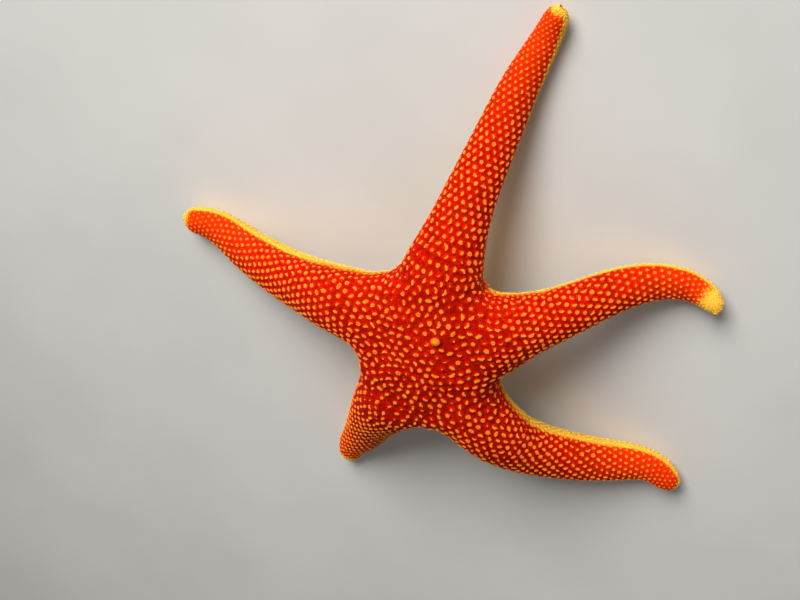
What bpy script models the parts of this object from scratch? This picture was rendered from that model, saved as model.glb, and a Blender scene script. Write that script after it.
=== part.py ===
"""A blood star: a small sea star with five slender round arms, as a still life-size model.

The star is one skin of flesh, parted by thin cuts into its disc and four lengths of each arm. The disc
stands a little above the floor, the arms bend down from it, and each lies on its outer length with the
tip curled up. The button beside the centre, the mouth and the five eyespots sit in pits of their own.
Sizes are in metres and angles in degrees, with +Z up. The origin is the middle of the base.
"""

import math
from dataclasses import dataclass

import bmesh
import bpy
import numpy as np
from mathutils import Matrix, Vector

# The disc
DISC_LIFT = 0.0090
DISC_CROWN = 0.0016
DISC_ROWS = 8
RIM_ROUNDNESS = 2.4

# The arms: half widths from the notch to the tip, and heights as shares of them
WIDTH_STATIONS = (0.0, 0.3, 0.7, 1.0)
HALF_WIDTHS = (0.0074, 0.0056, 0.0040, 0.0024)
FLARE_LENGTH = 0.0019
TOP_SHARE = 0.88
BOTTOM_SHARE = 0.70
TIP_ROUNDING = 0.0028
CURL_LENGTH = 0.0085
FLOOR_PRESS = 0.00035

# The outline of a slice: the top is an arc, and the underside is given from the margin to the groove
# as shares of the half width and of the bottom height
TOP_POINTS = 10
TOP_MARGIN_ANGLE = 14.0
UNDERSIDE = ((0.95, 0.31), (0.80, 0.70), (0.58, 0.98), (0.32, 1.00), (0.15, 0.62))
GROOVE_POINTS = 3
GROOVE_START = 4.0
UPRIGHT_LENGTH = 0.0006
TURN_LENGTH = 0.0020

# The thin cuts: the first lies just past the notches, the others at shares of the free arm
GAP = 0.0003
FIRST_CUT = 0.0012
CUT_SHARES = (0.27, 0.55, 0.80)
LENGTH_NAMES = ("base", "middle", "outer", "tip")
RINGS_PER_LENGTH = (6, 6, 6, 5)
TIP_ANGLES = (28.0, 52.0, 72.0)

# The small pieces
BUTTON_RADIUS = 0.00085
BUTTON_REACH = 0.0077
BUTTON_HEADING = 55.0
BUTTON_RISE = 0.00050
BUTTON_DEPTH = 0.00070
BUTTON_SIDES = 16
MOUTH_RADIUS = 0.0029
MOUTH_THICKNESS = 0.0015
MOUTH_RECESS = 0.0005
MOUTH_LOBES = 5
MOUTH_LOBE_SHARE = 0.06
MOUTH_SIDES = 30
EYE_RADIUS = 0.00045

SHARP_ANGLE = math.radians(50.0)

# The colours, as linear red, green and blue, and how far each length of arm pales toward the tip
SCARLET = (0.62, 0.035, 0.008)
CREAM = (0.80, 0.50, 0.16)
AMBER = (0.85, 0.36, 0.04)
EMBER = (0.45, 0.03, 0.01)
PALING = (0.0, 0.06, 0.16, 0.55)
HELPER_GREY = (0.5, 0.5, 0.5)

LINE_STEP = 0.0002
SOFT_START = 0.10
MERGE = 1e-6


@dataclass(frozen=True)
class Notch:
    """A notch between two arms: its heading from the centre, and how far out it lies."""

    heading: float
    reach: float

    @property
    def place(self):
        """The notch in the plane of the disc."""
        turn = math.radians(self.heading)
        return self.reach * np.array((math.cos(turn), math.sin(turn), 0.0))


@dataclass(frozen=True)
class Arm:
    """One arm: its notches, its length, its headings from notch to tip, and how it settles."""

    name: str
    right: Notch
    left: Notch
    length: float
    headings: tuple
    rests_from: float
    curl: float
    girth: float
    evenness: float = 0.0

    @property
    def start(self):
        """The middle of the row between the two notches, where the arm leaves the disc."""
        return (self.right.place + self.left.place) / 2.0

    @property
    def row(self):
        """The vector from that middle to the left notch."""
        return (self.left.place - self.right.place) / 2.0

    @property
    def notch_row(self):
        """How far the row between the notches is from the centre."""
        return float(np.linalg.norm(self.start))


BEND_STATIONS = (0.0, 0.2, 0.4, 0.6, 0.8, 0.92, 1.0)
NOTCH_51 = Notch(103.0, 0.0167)
NOTCH_12 = Notch(50.0, 0.0178)
NOTCH_23 = Notch(-24.5, 0.0144)
NOTCH_34 = Notch(-94.5, 0.0184)
NOTCH_45 = Notch(206.0, 0.0149)
ARMS = (
    Arm("arm_1", NOTCH_12, NOTCH_51, 0.0668, (72, 70, 66, 66, 60, 64, 67), 0.80, 0.0020, 0.88),
    Arm("arm_2", NOTCH_23, NOTCH_12, 0.0556, (16, 14, 19, 9, -16, -34, -88), 0.86, 0.0036, 0.91),
    Arm("arm_3", NOTCH_34, NOTCH_23, 0.0630, (-59, -54, -33, -18, -8, -46, -88), 0.84, 0.0012, 1.12),
    Arm("arm_4", NOTCH_45, NOTCH_34, 0.0533, (232, 236, 241, 239, 237, 253, 268), 0.92, 0.0003, 1.01, 0.6),
    Arm("arm_5", NOTCH_51, NOTCH_45, 0.0577, (162, 177, 177, 165, 149.5, 170, 185), 0.84, 0.0016, 1.12),
)


def ease(low, high, value):
    """A soft step from 0 at low to 1 at high."""
    share = min(max((value - low) / (high - low), 0.0), 1.0)
    return share * share * (3.0 - 2.0 * share)


def through(stations, values, place):
    """A smooth curve through the values at the stations, read at one place."""
    slopes = np.gradient(np.array(values, float), np.array(stations, float))
    i = int(np.clip(np.searchsorted(stations, place) - 1, 0, len(stations) - 2))
    span = stations[i + 1] - stations[i]
    t = min(max((place - stations[i]) / span, 0.0), 1.0)
    from_start = (1 + 2 * t) * (1 - t) ** 2 * values[i] + t * (1 - t) ** 2 * span * slopes[i]
    from_end = t * t * (3 - 2 * t) * values[i + 1] - t * t * (1 - t) * span * slopes[i + 1]
    return from_start + from_end


def free_share(arm, along):
    """How far along its free length a place on the arm is, from 0 at the notch to 1 at the tip."""
    return (along - arm.notch_row) / (arm.length - arm.notch_row)


def plain_half_width(arm, along):
    """The half width of the arm without its flare at the notch and its rounding at the tip."""
    share = free_share(arm, along)
    girth = 1.0 + (arm.girth - 1.0) * ease(0.0, 0.25, share)
    return girth * through(WIDTH_STATIONS, HALF_WIDTHS, share)


def line_height(arm, along):
    """The height of the arm's middle line over the floor."""
    rest = arm.notch_row + arm.rests_from * (arm.length - arm.notch_row)
    past = min(max((along - arm.notch_row) / (rest - arm.notch_row), 0.0), 1.0)
    even = (past - SOFT_START * (1.0 - math.exp(-past / SOFT_START))) / (1.0 - SOFT_START)
    fallen = arm.evenness * even + (1.0 - arm.evenness) * ease(arm.notch_row, rest, along)
    under = (DISC_LIFT + FLOOR_PRESS) * (1.0 - fallen) - FLOOR_PRESS
    into_curl = max((along - arm.length + CURL_LENGTH) / CURL_LENGTH, 0.0)
    return under + BOTTOM_SHARE * plain_half_width(arm, along) + arm.curl * into_curl**2


def middle_line(arm):
    """Points along the arm's middle line, a small step apart, from the notch row to the tip."""
    points = []
    place = arm.start.copy()
    for along in np.arange(arm.notch_row, arm.length + 3 * LINE_STEP, LINE_STEP):
        place[2] = line_height(arm, along)
        points.append(place.copy())
        drop = line_height(arm, along + LINE_STEP) - place[2]
        forward = math.sqrt(max(LINE_STEP**2 - drop**2, 0.0))
        heading = math.radians(through(BEND_STATIONS, arm.headings, free_share(arm, along)))
        place[:2] += forward * np.array((math.cos(heading), math.sin(heading)))
    return np.array(points)


def slice_outline(wide, plain, blunt, square):
    """The closed outline of a slice as (side, height): top, left margin, underside, right margin.

    Square is 1 at the notch, where the margins stand upright, and fades to 0 along the arm.
    """
    top = TOP_SHARE * plain * blunt
    bottom = BOTTOM_SHARE * plain * blunt
    angles = np.radians(np.linspace(TOP_MARGIN_ANGLE, 180.0 - TOP_MARGIN_ANGLE, TOP_POINTS))
    upright = 1.0 + square * (1.0 / math.cos(angles[0]) - 1.0)
    over = [(-math.cos(a) * upright * wide * blunt, math.sin(a) * top) for a in angles]
    left = []
    for index, (side, height) in enumerate(UNDERSIDE):
        half = plain if index >= len(UNDERSIDE) - GROOVE_POINTS else wide
        share = side + (1.0 - side) * square if index == 0 else side
        left.append((share * half * blunt, -height * bottom))
    right = [(-side, height) for side, height in reversed(left)]
    return over + [(wide * blunt, 0.0)] + left + right + [(-wide * blunt, 0.0)]


def arm_slice(arm, line, along):
    """The points of the slice across the arm at one place, and the middle and direction there."""
    past_notch = max(along - arm.notch_row, 0.0)
    plain = plain_half_width(arm, along)
    notch_half_width = float(np.linalg.norm(arm.row))
    wide = plain + (notch_half_width - plain) * math.exp(-past_notch / FLARE_LENGTH)
    into_tip = min(max((along - arm.length + TIP_ROUNDING) / TIP_ROUNDING, 0.0), 1.0)
    blunt = math.sqrt(1.0 - into_tip**2)
    square = math.exp(-past_notch / UPRIGHT_LENGTH)

    place = min(past_notch / LINE_STEP, len(line) - 2.001)
    index = int(place)
    middle = line[index] + (place - index) * (line[index + 1] - line[index])
    ahead = line[min(index + 3, len(line) - 1)] - line[max(index - 2, 0)]
    ahead /= np.linalg.norm(ahead)
    up = np.array((0.0, 0.0, 1.0)) - ahead[2] * ahead
    up /= np.linalg.norm(up)
    turn = math.exp(-past_notch / TURN_LENGTH)
    side = (1.0 - turn) * np.cross(up, ahead) + turn * arm.row / notch_half_width
    side /= np.linalg.norm(side)
    if turn == 1.0:
        up = np.array((0.0, 0.0, 1.0))
    outline = slice_outline(wide, plain, blunt, square)
    points = np.array([middle + y * side + z * up for y, z in outline])
    points[:, 2] = np.maximum(points[:, 2], 0.0)
    return points, middle, ahead


# Building the pieces
def dome(margin, crown, share):
    """The height of the disc's rounded skin over its middle plane, at a share of the way to a notch."""
    return margin + (crown - margin) * math.sqrt(1.0 - share**RIM_ROUNDNESS)


def disc_row(arm, rim, share):
    """The upper and lower rows of points that cross one sector of the disc, at a share of its reach.

    The rim is the slice at the notches, which the rows lead up to.
    """
    middle_height = line_height(arm, arm.notch_row)
    half_width = float(np.linalg.norm(arm.row))
    inner = 2.0 * arm.notch_row / (arm.left.reach + arm.right.reach)
    by_groove_width = 1.01 * UNDERSIDE[-GROOVE_POINTS][0] * HALF_WIDTHS[0]
    towards_rim = share**3
    rows = []
    for over, points in ((True, rim[:TOP_POINTS]), (False, rim[TOP_POINTS + 1 : -1])):
        heights = np.abs(points[:, 2] - middle_height)
        margin = heights[0]
        ridge = heights.max()
        crown = ridge + (DISC_CROWN if over else 0.0)
        edge = dome(margin, crown, share)
        crest = dome(margin, crown, inner * share)
        crest += (ridge - crest) * ease(0.2, 1.0, share)
        row = []
        for point, height in zip(points, heights):
            side = float(np.dot(point - arm.start, arm.row)) / half_width**2
            by_groove = not over and abs(side) * half_width < by_groove_width
            across = 1.0 if by_groove else (height - margin) / (ridge - margin)
            swell = (1.0 - towards_rim) * (1.0 - side**2) + towards_rim * across
            level = edge + (crest - edge) * swell
            if by_groove:
                level -= (ridge - height) * min(1.0, GROOVE_START * share)
            z = middle_height + (level if over else -level)
            row.append((share * point[0], share * point[1], z))
        rows.append(row)
    return rows


def add_row(mesh, points):
    """New vertices for a row of points."""
    return [mesh.verts.new(Vector(point)) for point in points]


def join_rows(mesh, row, following, closed):
    """Faces between two rows of vertices of equal length."""
    count = len(row) if closed else len(row) - 1
    for i in range(count):
        j = (i + 1) % len(row)
        mesh.faces.new((row[i], row[j], following[j], following[i]))


def loft(mesh, slices, close_start=True):
    """A length of arm through its slices, closed at its end and, if asked, at its start."""
    rings = [add_row(mesh, points) for points in slices]
    for ring, following in zip(rings, rings[1:]):
        join_rows(mesh, ring, following, True)
    if close_start:
        mesh.faces.new(rings[0])
    mesh.faces.new(rings[-1])
    return rings


def disc_mesh():
    """The disc: five sectors of rows that share their edges, each ending in a short stub of its arm."""
    mesh = bmesh.new()
    shares = [1.0 - (1.0 - i / DISC_ROWS) ** 1.5 for i in range(1, DISC_ROWS)]
    for arm in ARMS:
        line = middle_line(arm)
        rim, _, _ = arm_slice(arm, line, arm.notch_row)
        rows = [disc_row(arm, rim, share) for share in shares]
        centres = ((0.0, 0.0, disc_top(0.0)), (0.0, 0.0, DISC_LIFT))
        stub = [0.0, 0.5 * FIRST_CUT, FIRST_CUT - GAP / 2.0]
        slices = [arm_slice(arm, line, arm.notch_row + past)[0] for past in stub]
        rings = loft(mesh, slices, close_start=False)
        edges = (rings[0][:TOP_POINTS], rings[0][TOP_POINTS + 1 : -1])
        for number in range(2):
            strips = [add_row(mesh, row[number]) for row in rows] + [edges[number]]
            for strip, following in zip(strips, strips[1:]):
                join_rows(mesh, strip, following, False)
            centre = mesh.verts.new(centres[number])
            for first, second in zip(strips[0], strips[0][1:]):
                mesh.faces.new((centre, first, second))
    bmesh.ops.remove_doubles(mesh, verts=mesh.verts, dist=MERGE)
    return mesh


def length_places(arm, number):
    """The places of the slices along one length of an arm, from cut to cut."""
    free = arm.length - arm.notch_row
    cuts = [arm.notch_row + FIRST_CUT] + [arm.notch_row + share * free for share in CUT_SHARES]
    start = cuts[number] + GAP / 2.0
    count = RINGS_PER_LENGTH[number]
    if number + 1 < len(cuts):
        return list(np.linspace(start, cuts[number + 1] - GAP / 2.0, count))
    shoulder = arm.length - TIP_ROUNDING
    rounding = [shoulder + TIP_ROUNDING * math.sin(math.radians(a)) for a in TIP_ANGLES]
    return list(np.linspace(start, shoulder, count)) + rounding


def arm_length_mesh(arm, number):
    """One length of an arm."""
    mesh = bmesh.new()
    line = middle_line(arm)
    loft(mesh, [arm_slice(arm, line, place)[0] for place in length_places(arm, number)])
    return mesh


def turned_mesh(profile, sides):
    """A round piece, closed on its axis, turned from (radius, height) points that start and end on it."""
    mesh = bmesh.new()
    turns = [2.0 * math.pi * i / sides for i in range(sides)]
    rings = []
    for radius, height in profile[1:-1]:
        ring = [(radius * math.cos(t), radius * math.sin(t), height) for t in turns]
        rings.append(add_row(mesh, ring))
    for ring, following in zip(rings, rings[1:]):
        join_rows(mesh, ring, following, True)
    for ring, (_, height) in ((rings[0], profile[0]), (rings[-1], profile[-1])):
        pole = mesh.verts.new((0.0, 0.0, height))
        for i in range(sides):
            mesh.faces.new((pole, ring[i], ring[(i + 1) % sides]))
    return mesh


def button_mesh(radius, rise, depth):
    """The round button of the disc: a short plug with a low domed top."""
    crown = [(radius * math.cos(a), rise * math.sin(a)) for a in np.radians((0.0, 30.0, 60.0))]
    return turned_mesh([(0.0, -depth), (radius, -depth)] + crown + [(0.0, rise)], BUTTON_SIDES)


def mouth_mesh():
    """The mouth: a low lobed pad with a hollow in its middle, facing down."""
    thick = MOUTH_THICKNESS
    profile = [
        (0.0, thick),
        (0.80 * MOUTH_RADIUS, thick),
        (MOUTH_RADIUS, 0.7 * thick),
        (0.96 * MOUTH_RADIUS, 0.25 * thick),
        (0.70 * MOUTH_RADIUS, 0.0),
        (0.30 * MOUTH_RADIUS, 0.15 * thick),
        (0.14 * MOUTH_RADIUS, 0.5 * thick),
        (0.0, 0.55 * thick),
    ]
    mesh = turned_mesh(profile, MOUTH_SIDES)
    for vert in mesh.verts:
        turn = math.atan2(vert.co.y, vert.co.x) - math.radians(NOTCH_12.heading)
        scale = 1.0 - MOUTH_LOBE_SHARE * (1.0 - math.cos(MOUTH_LOBES * turn))
        vert.co.x *= scale
        vert.co.y *= scale
    return mesh


def ball_mesh(radius):
    """A small ball."""
    mesh = bmesh.new()
    bmesh.ops.create_uvsphere(mesh, u_segments=10, v_segments=6, radius=radius)
    return mesh


def material(name, colour, roughness):
    """A Principled material with one colour."""
    made = bpy.data.materials.new(name)
    made.use_nodes = True
    shader = made.node_tree.nodes["Principled BSDF"]
    shader.inputs["Base Color"].default_value = (*colour, 1.0)
    shader.inputs["Roughness"].default_value = roughness
    shader.inputs["Metallic"].default_value = 0.0
    return made


def piece(name, mesh, place, colour, roughness=0.5, tilt=None):
    """An object made from a mesh that is modelled about its own origin and then placed."""
    bmesh.ops.recalc_face_normals(mesh, faces=mesh.faces)
    data = bpy.data.meshes.new(name)
    mesh.to_mesh(data)
    mesh.free()
    data.shade_smooth()
    data.set_sharp_from_angle(angle=SHARP_ANGLE)
    data.materials.append(material(name, colour, roughness))
    made = bpy.data.objects.new(name, data)
    made.location = Vector(place)
    if tilt is not None:
        made.rotation_euler = Vector((0.0, 0.0, 1.0)).rotation_difference(Vector(tilt)).to_euler()
    bpy.context.scene.collection.objects.link(made)
    return made


def cutter(name, mesh, place, tilt=None):
    """A hidden helper that cuts a pit."""
    made = piece(name, mesh, place, HELPER_GREY, tilt=tilt)
    made.hide_render = True
    made.display_type = "WIRE"
    return made


def cut(target, tool):
    """Cuts the tool's shape from the target."""
    boolean = target.modifiers.new(tool.name, "BOOLEAN")
    boolean.operation = "DIFFERENCE"
    boolean.solver = "EXACT"
    boolean.object = tool


def moved(mesh, offset):
    """The mesh, moved by the offset."""
    bmesh.ops.transform(mesh, matrix=Matrix.Translation(Vector(offset)), verts=mesh.verts)
    return mesh


def disc_top(reach):
    """The height of the disc's upper skin over the floor, on the way to the first notch."""
    ridge = TOP_SHARE * HALF_WIDTHS[0]
    margin = ridge * math.sin(math.radians(TOP_MARGIN_ANGLE))
    middle_height = DISC_LIFT + BOTTOM_SHARE * HALF_WIDTHS[0]
    return middle_height + dome(margin, ridge + DISC_CROWN, reach / NOTCH_12.reach)


def base_middle():
    """The middle of the whole star's box on the floor, which becomes the origin."""
    low = np.full(3, np.inf)
    high = np.full(3, -np.inf)
    for arm in ARMS:
        line = middle_line(arm)
        for number in range(len(LENGTH_NAMES)):
            for place in length_places(arm, number):
                points, _, _ = arm_slice(arm, line, place)
                low = np.minimum(low, points.min(axis=0))
                high = np.maximum(high, points.max(axis=0))
    return np.array(((low[0] + high[0]) / 2.0, (low[1] + high[1]) / 2.0, 0.0))


def build_disc(origin):
    """The disc with its pits, the button and the mouth."""
    disc = piece("disc", disc_mesh(), -origin, SCARLET)

    heading = math.radians(BUTTON_HEADING)
    outward = np.array((math.cos(heading), math.sin(heading), 0.0))
    height = disc_top(BUTTON_REACH)
    slope = (disc_top(BUTTON_REACH - BUTTON_RADIUS) - height) / BUTTON_RADIUS
    place = BUTTON_REACH * outward + np.array((0.0, 0.0, height))
    lean = slope * outward + np.array((0.0, 0.0, 1.0))
    pit = button_mesh(BUTTON_RADIUS + GAP, 2.0 * BUTTON_RISE, BUTTON_DEPTH + GAP)
    cut(disc, cutter("button_pit", pit, place - origin, lean))
    button = button_mesh(BUTTON_RADIUS, BUTTON_RISE, BUTTON_DEPTH)
    piece("madreporite", button, place - origin, AMBER, 0.6, lean)

    under = np.array((0.0, 0.0, DISC_LIFT))
    high = MOUTH_THICKNESS + MOUTH_RECESS + GAP
    wide = MOUTH_RADIUS + GAP
    pit = turned_mesh([(0.0, high), (wide, high), (wide, -high), (0.0, -high)], MOUTH_SIDES)
    cut(disc, cutter("mouth_pit", pit, under - origin))
    recess = np.array((0.0, 0.0, MOUTH_RECESS))
    piece("mouth", mouth_mesh(), under + recess - origin, CREAM, 0.6)


def build_arm(arm, origin):
    """The four lengths of one arm, and the eyespot in its tip."""
    line = middle_line(arm)
    for number, name in enumerate(LENGTH_NAMES):
        places = length_places(arm, number)
        _, middle, _ = arm_slice(arm, line, places[0])
        mesh = moved(arm_length_mesh(arm, number), -middle)
        colour = np.array(SCARLET) + PALING[number] * (np.array(CREAM) - np.array(SCARLET))
        made = piece(f"{arm.name}_{name}", mesh, middle - origin, tuple(colour))
    _, end, ahead = arm_slice(arm, line, places[-1])
    pit = ball_mesh(EYE_RADIUS + GAP)
    cut(made, cutter(f"{arm.name}_eye_pit", pit, end - origin, ahead))
    piece(f"{arm.name}_eyespot", ball_mesh(EYE_RADIUS), end - origin, EMBER, 0.25, ahead)


def main():
    """Clears the scene and builds the star."""
    for old in list(bpy.data.objects):
        bpy.data.objects.remove(old, do_unlink=True)
    origin = base_middle()
    build_disc(origin)
    for arm in ARMS:
        build_arm(arm, origin)


main()
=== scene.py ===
"""The looks of a blood star: a small sea star with five slender round arms, life-size, as a shelf model.

One thin scarlet skin stands for all the flesh of the solids. It lies inside them by the height of the
spine tufts, which cover it in near-even rows and are smallest at the arm ends. The grooves under the arms
hold tube feet between two fringes of longer spines, and the mouth, the button and the arm ends have
pieces of their own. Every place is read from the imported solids. Sizes are in metres.
"""

import logging
import math
from dataclasses import dataclass, field
from enum import Enum
from itertools import product
from typing import TypeVar

import bpy
import numpy as np
from mathutils import Matrix, Vector
from mathutils.bvhtree import BVHTree
from mathutils.kdtree import KDTree

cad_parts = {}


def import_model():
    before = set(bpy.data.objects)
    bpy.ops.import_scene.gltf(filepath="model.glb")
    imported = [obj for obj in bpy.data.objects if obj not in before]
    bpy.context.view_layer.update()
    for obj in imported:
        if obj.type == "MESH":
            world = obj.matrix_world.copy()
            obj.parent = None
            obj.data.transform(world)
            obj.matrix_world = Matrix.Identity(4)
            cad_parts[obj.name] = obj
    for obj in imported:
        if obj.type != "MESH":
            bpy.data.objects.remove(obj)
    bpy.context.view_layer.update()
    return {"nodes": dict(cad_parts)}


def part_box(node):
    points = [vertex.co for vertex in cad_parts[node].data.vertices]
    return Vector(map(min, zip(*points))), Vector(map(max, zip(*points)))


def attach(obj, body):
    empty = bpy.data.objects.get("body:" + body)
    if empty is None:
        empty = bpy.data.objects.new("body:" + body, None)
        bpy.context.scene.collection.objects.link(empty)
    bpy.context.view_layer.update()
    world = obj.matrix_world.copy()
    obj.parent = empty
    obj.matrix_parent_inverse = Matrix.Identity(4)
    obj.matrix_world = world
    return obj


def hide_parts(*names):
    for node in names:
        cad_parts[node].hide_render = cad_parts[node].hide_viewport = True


Array = np.ndarray
Draws = np.random.Generator
Socket = bpy.types.NodeSocket
Material = bpy.types.Material
Piece = bpy.types.Object
Colour = tuple[float, float, float]
Numbers = tuple[float, ...]
Profile = tuple[tuple[float, float], ...]
Group = TypeVar("Group")

LOG = logging.getLogger("blood_star")
MM = 0.001
UP = np.array((0.0, 0.0, 1.0))
LEVEL = 1.0 - UP
BODY = "root"
PATCH_MAP = "OFBake"
PATCH_WIDTH = 0.003
ARM_NAMES = ("arm_1", "arm_2", "arm_3", "arm_4", "arm_5")
LENGTH_NAMES = ("base", "middle", "outer", "tip")
GOLDEN_TURN = math.pi * (3.0 - math.sqrt(5.0))
FAR_BELOW = 5.0 * MM
FLOOR_GAP = 0.01 * MM


# Small sums on arrays of points


def unit(vectors: Array) -> Array:
    """Scales a vector, or the vector in each row, to length 1."""
    length = np.linalg.norm(vectors, axis=-1, keepdims=True)
    return vectors / np.maximum(length, 1e-12)


def ease(low: float, high: float, value: Array) -> Array:
    """A soft step, which is 0 where the value is low and 1 where it is high."""
    share = np.clip((np.asarray(value) - low) / (high - low), 0.0, 1.0)
    return share * share * (3.0 - 2.0 * share)


def tree_of(points: Array) -> KDTree:
    """A search tree over points.

    Args:
        points: One point in each row.

    Returns:
        The balanced tree.
    """
    tree = KDTree(len(points))
    for index, point in enumerate(points):
        tree.insert(point, index)
    tree.balance()
    return tree


def circle(sides: int) -> Array:
    """The corners of a round of that many sides, with radius 1."""
    around = 2.0 * np.pi * np.arange(sides) / sides
    return np.stack((np.cos(around), np.sin(around)), axis=1)


def ring_faces(rings: int, sides: int, tip: bool = True) -> Array:
    """The triangles over a stack of rings of points, which are counted ring by ring.

    Args:
        rings: How many rings there are.
        sides: How many points each has.
        tip: Whether one more point closes the last ring.

    Returns:
        One triangle in each row.
    """
    here = np.arange(sides)
    following = (here + 1) % sides
    faces = []
    for low in range(0, (rings - 1) * sides, sides):
        high = low + sides
        faces.append(np.stack((here + low, following + low, following + high), axis=1))
        faces.append(np.stack((here + low, following + high, here + high), axis=1))
    if tip:
        last = (rings - 1) * sides
        faces.append(np.stack((here + last, following + last, np.full(sides, last + sides)), axis=1))
    return np.concatenate(faces)


def chosen(group: Group, keep: Array) -> Group:
    """The rows of a dataclass of arrays that a mask keeps."""
    return type(group)(*(rows[keep] for rows in vars(group).values()))


def read_all(items: bpy.types.bpy_prop_collection, name: str, width: int,
             kind: type = np.float32) -> Array:
    """Reads one property of all the points, corners or edges of a mesh.

    Args:
        items: The points, corners or edges.
        name: The property's name.
        width: How many numbers each has.
        kind: The numbers' type.

    Returns:
        One item in each row.
    """
    values = np.zeros(len(items) * width, kind)
    items.foreach_get(name, values)
    return values.reshape(-1, width)


def frames_on(normals: Array, turns: Array, helper: Array | None = None) -> tuple[Array, Array]:
    """Two directions square to a third at each root.

    Args:
        normals: The third direction, such as the skin's normal.
        turns: How far each pair is turned about it, in radians.
        helper: The direction that the first of each pair keeps near, if any.

    Returns:
        The first and second direction, one in each row.
    """
    if helper is None:
        aside = np.where(np.abs(normals[:, 2:3]) > 0.9, np.array((1.0, 0.0, 0.0)), UP)
        first = unit(np.cross(aside, normals))
    else:
        first = unit(helper - normals * np.einsum("ij,ij->i", helper, normals)[:, None])
    second = np.cross(normals, first)
    cos, sin = np.cos(turns)[:, None], np.sin(turns)[:, None]
    return cos * first + sin * second, cos * second - sin * first


@dataclass
class MeshParts:
    """Points, triangles and marks that are gathered and then made into one object.

    Attributes:
        points: Arrays of points.
        faces: Arrays of triangles, counted over all the points so far.
        patches: Arrays of map places, one for each point.
        marks: Arrays of values for each named mark, one for each point.
        count: How many points there are so far.
    """

    points: list[Array] = field(default_factory=list)
    faces: list[Array] = field(default_factory=list)
    patches: list[Array] = field(default_factory=list)
    marks: dict[str, list[Array]] = field(default_factory=dict)
    count: int = 0

    def add(self, points: Array, faces: Array, patches: Array, **marks: Array) -> None:
        """Adds one batch.

        Args:
            points: The batch's points.
            faces: Its triangles, counted from its own first point.
            patches: The map place of each point.
            marks: The value of each named mark at each point.
        """
        self.points.append(points)
        self.faces.append(faces + self.count)
        self.patches.append(patches)
        for name, values in marks.items():
            self.marks.setdefault(name, []).append(np.broadcast_to(values, (len(points),)))
        self.count += len(points)

    def add_copies(self, points: Array, faces: Array, places: Array, patch: Array, **marks: Array) -> None:
        """Adds many copies of one shape.

        Args:
            points: The points of the copies, in one block for each.
            faces: The triangles of one copy.
            places: The map place of each copy.
            patch: Where each point of a copy lies on its patch.
            marks: The value of each named mark at each point.
        """
        starts = np.arange(len(points)) * points.shape[1]
        self.add(
            points.reshape(-1, 3),
            (faces + starts[:, None, None]).reshape(-1, 3),
            (places[:, None] + patch).reshape(-1, 2),
            **marks,
        )

    def build(self, name: str, material: Material) -> Piece:
        """Makes the object.

        Args:
            name: The piece's name.
            material: Its finish.

        Returns:
            The linked object, shaded smooth, with its marks and its patch map.
        """
        marks = {mark: np.concatenate(values) for mark, values in self.marks.items()}
        faces = np.concatenate(self.faces)
        made = mesh_object(name, np.concatenate(self.points), faces, material, marks)
        layer = made.data.uv_layers.new(name=PATCH_MAP)
        layer.data.foreach_set("uv", np.concatenate(self.patches)[faces.ravel()].astype(np.float32).ravel())
        return made


def mesh_object(name: str, points: Array, faces: Array, material: Material,
                marks: dict[str, Array]) -> Piece:
    """Makes one linked object from arrays.

    Args:
        name: The piece's name.
        points: One point in each row.
        faces: One face in each row, all with the same number of corners.
        material: The finish.
        marks: The value of each named mark at each point.

    Returns:
        The object, shaded smooth.
    """
    mesh = bpy.data.meshes.new(name)
    mesh.vertices.add(len(points))
    mesh.vertices.foreach_set("co", np.asarray(points, np.float32).ravel())
    mesh.loops.add(faces.size)
    mesh.loops.foreach_set("vertex_index", np.asarray(faces, np.int32).ravel())
    mesh.polygons.add(len(faces))
    mesh.polygons.foreach_set("loop_start", np.arange(0, faces.size, faces.shape[1], dtype=np.int32))
    mesh.update(calc_edges=True)
    mesh.shade_smooth()
    for mark, values in marks.items():
        attribute = mesh.attributes.new(mark, "FLOAT", "POINT")
        attribute.data.foreach_set("value", np.asarray(values, np.float32))
    mesh.materials.append(material)
    made = bpy.data.objects.new(name, mesh)
    bpy.context.scene.collection.objects.link(made)
    return made


def place_piece(piece: Piece) -> None:
    """Puts a piece on the star's body.

    Args:
        piece: The finished piece.
    """
    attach(piece, BODY)
    LOG.info("%s: %d faces", piece.name, len(piece.data.polygons))


# Finishes


class Sum(Enum):
    """The sums that a finish makes of two values, as Blender names them."""

    ADD = "ADD"
    MULTIPLY = "MULTIPLY"
    LEAST = "MINIMUM"


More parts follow.
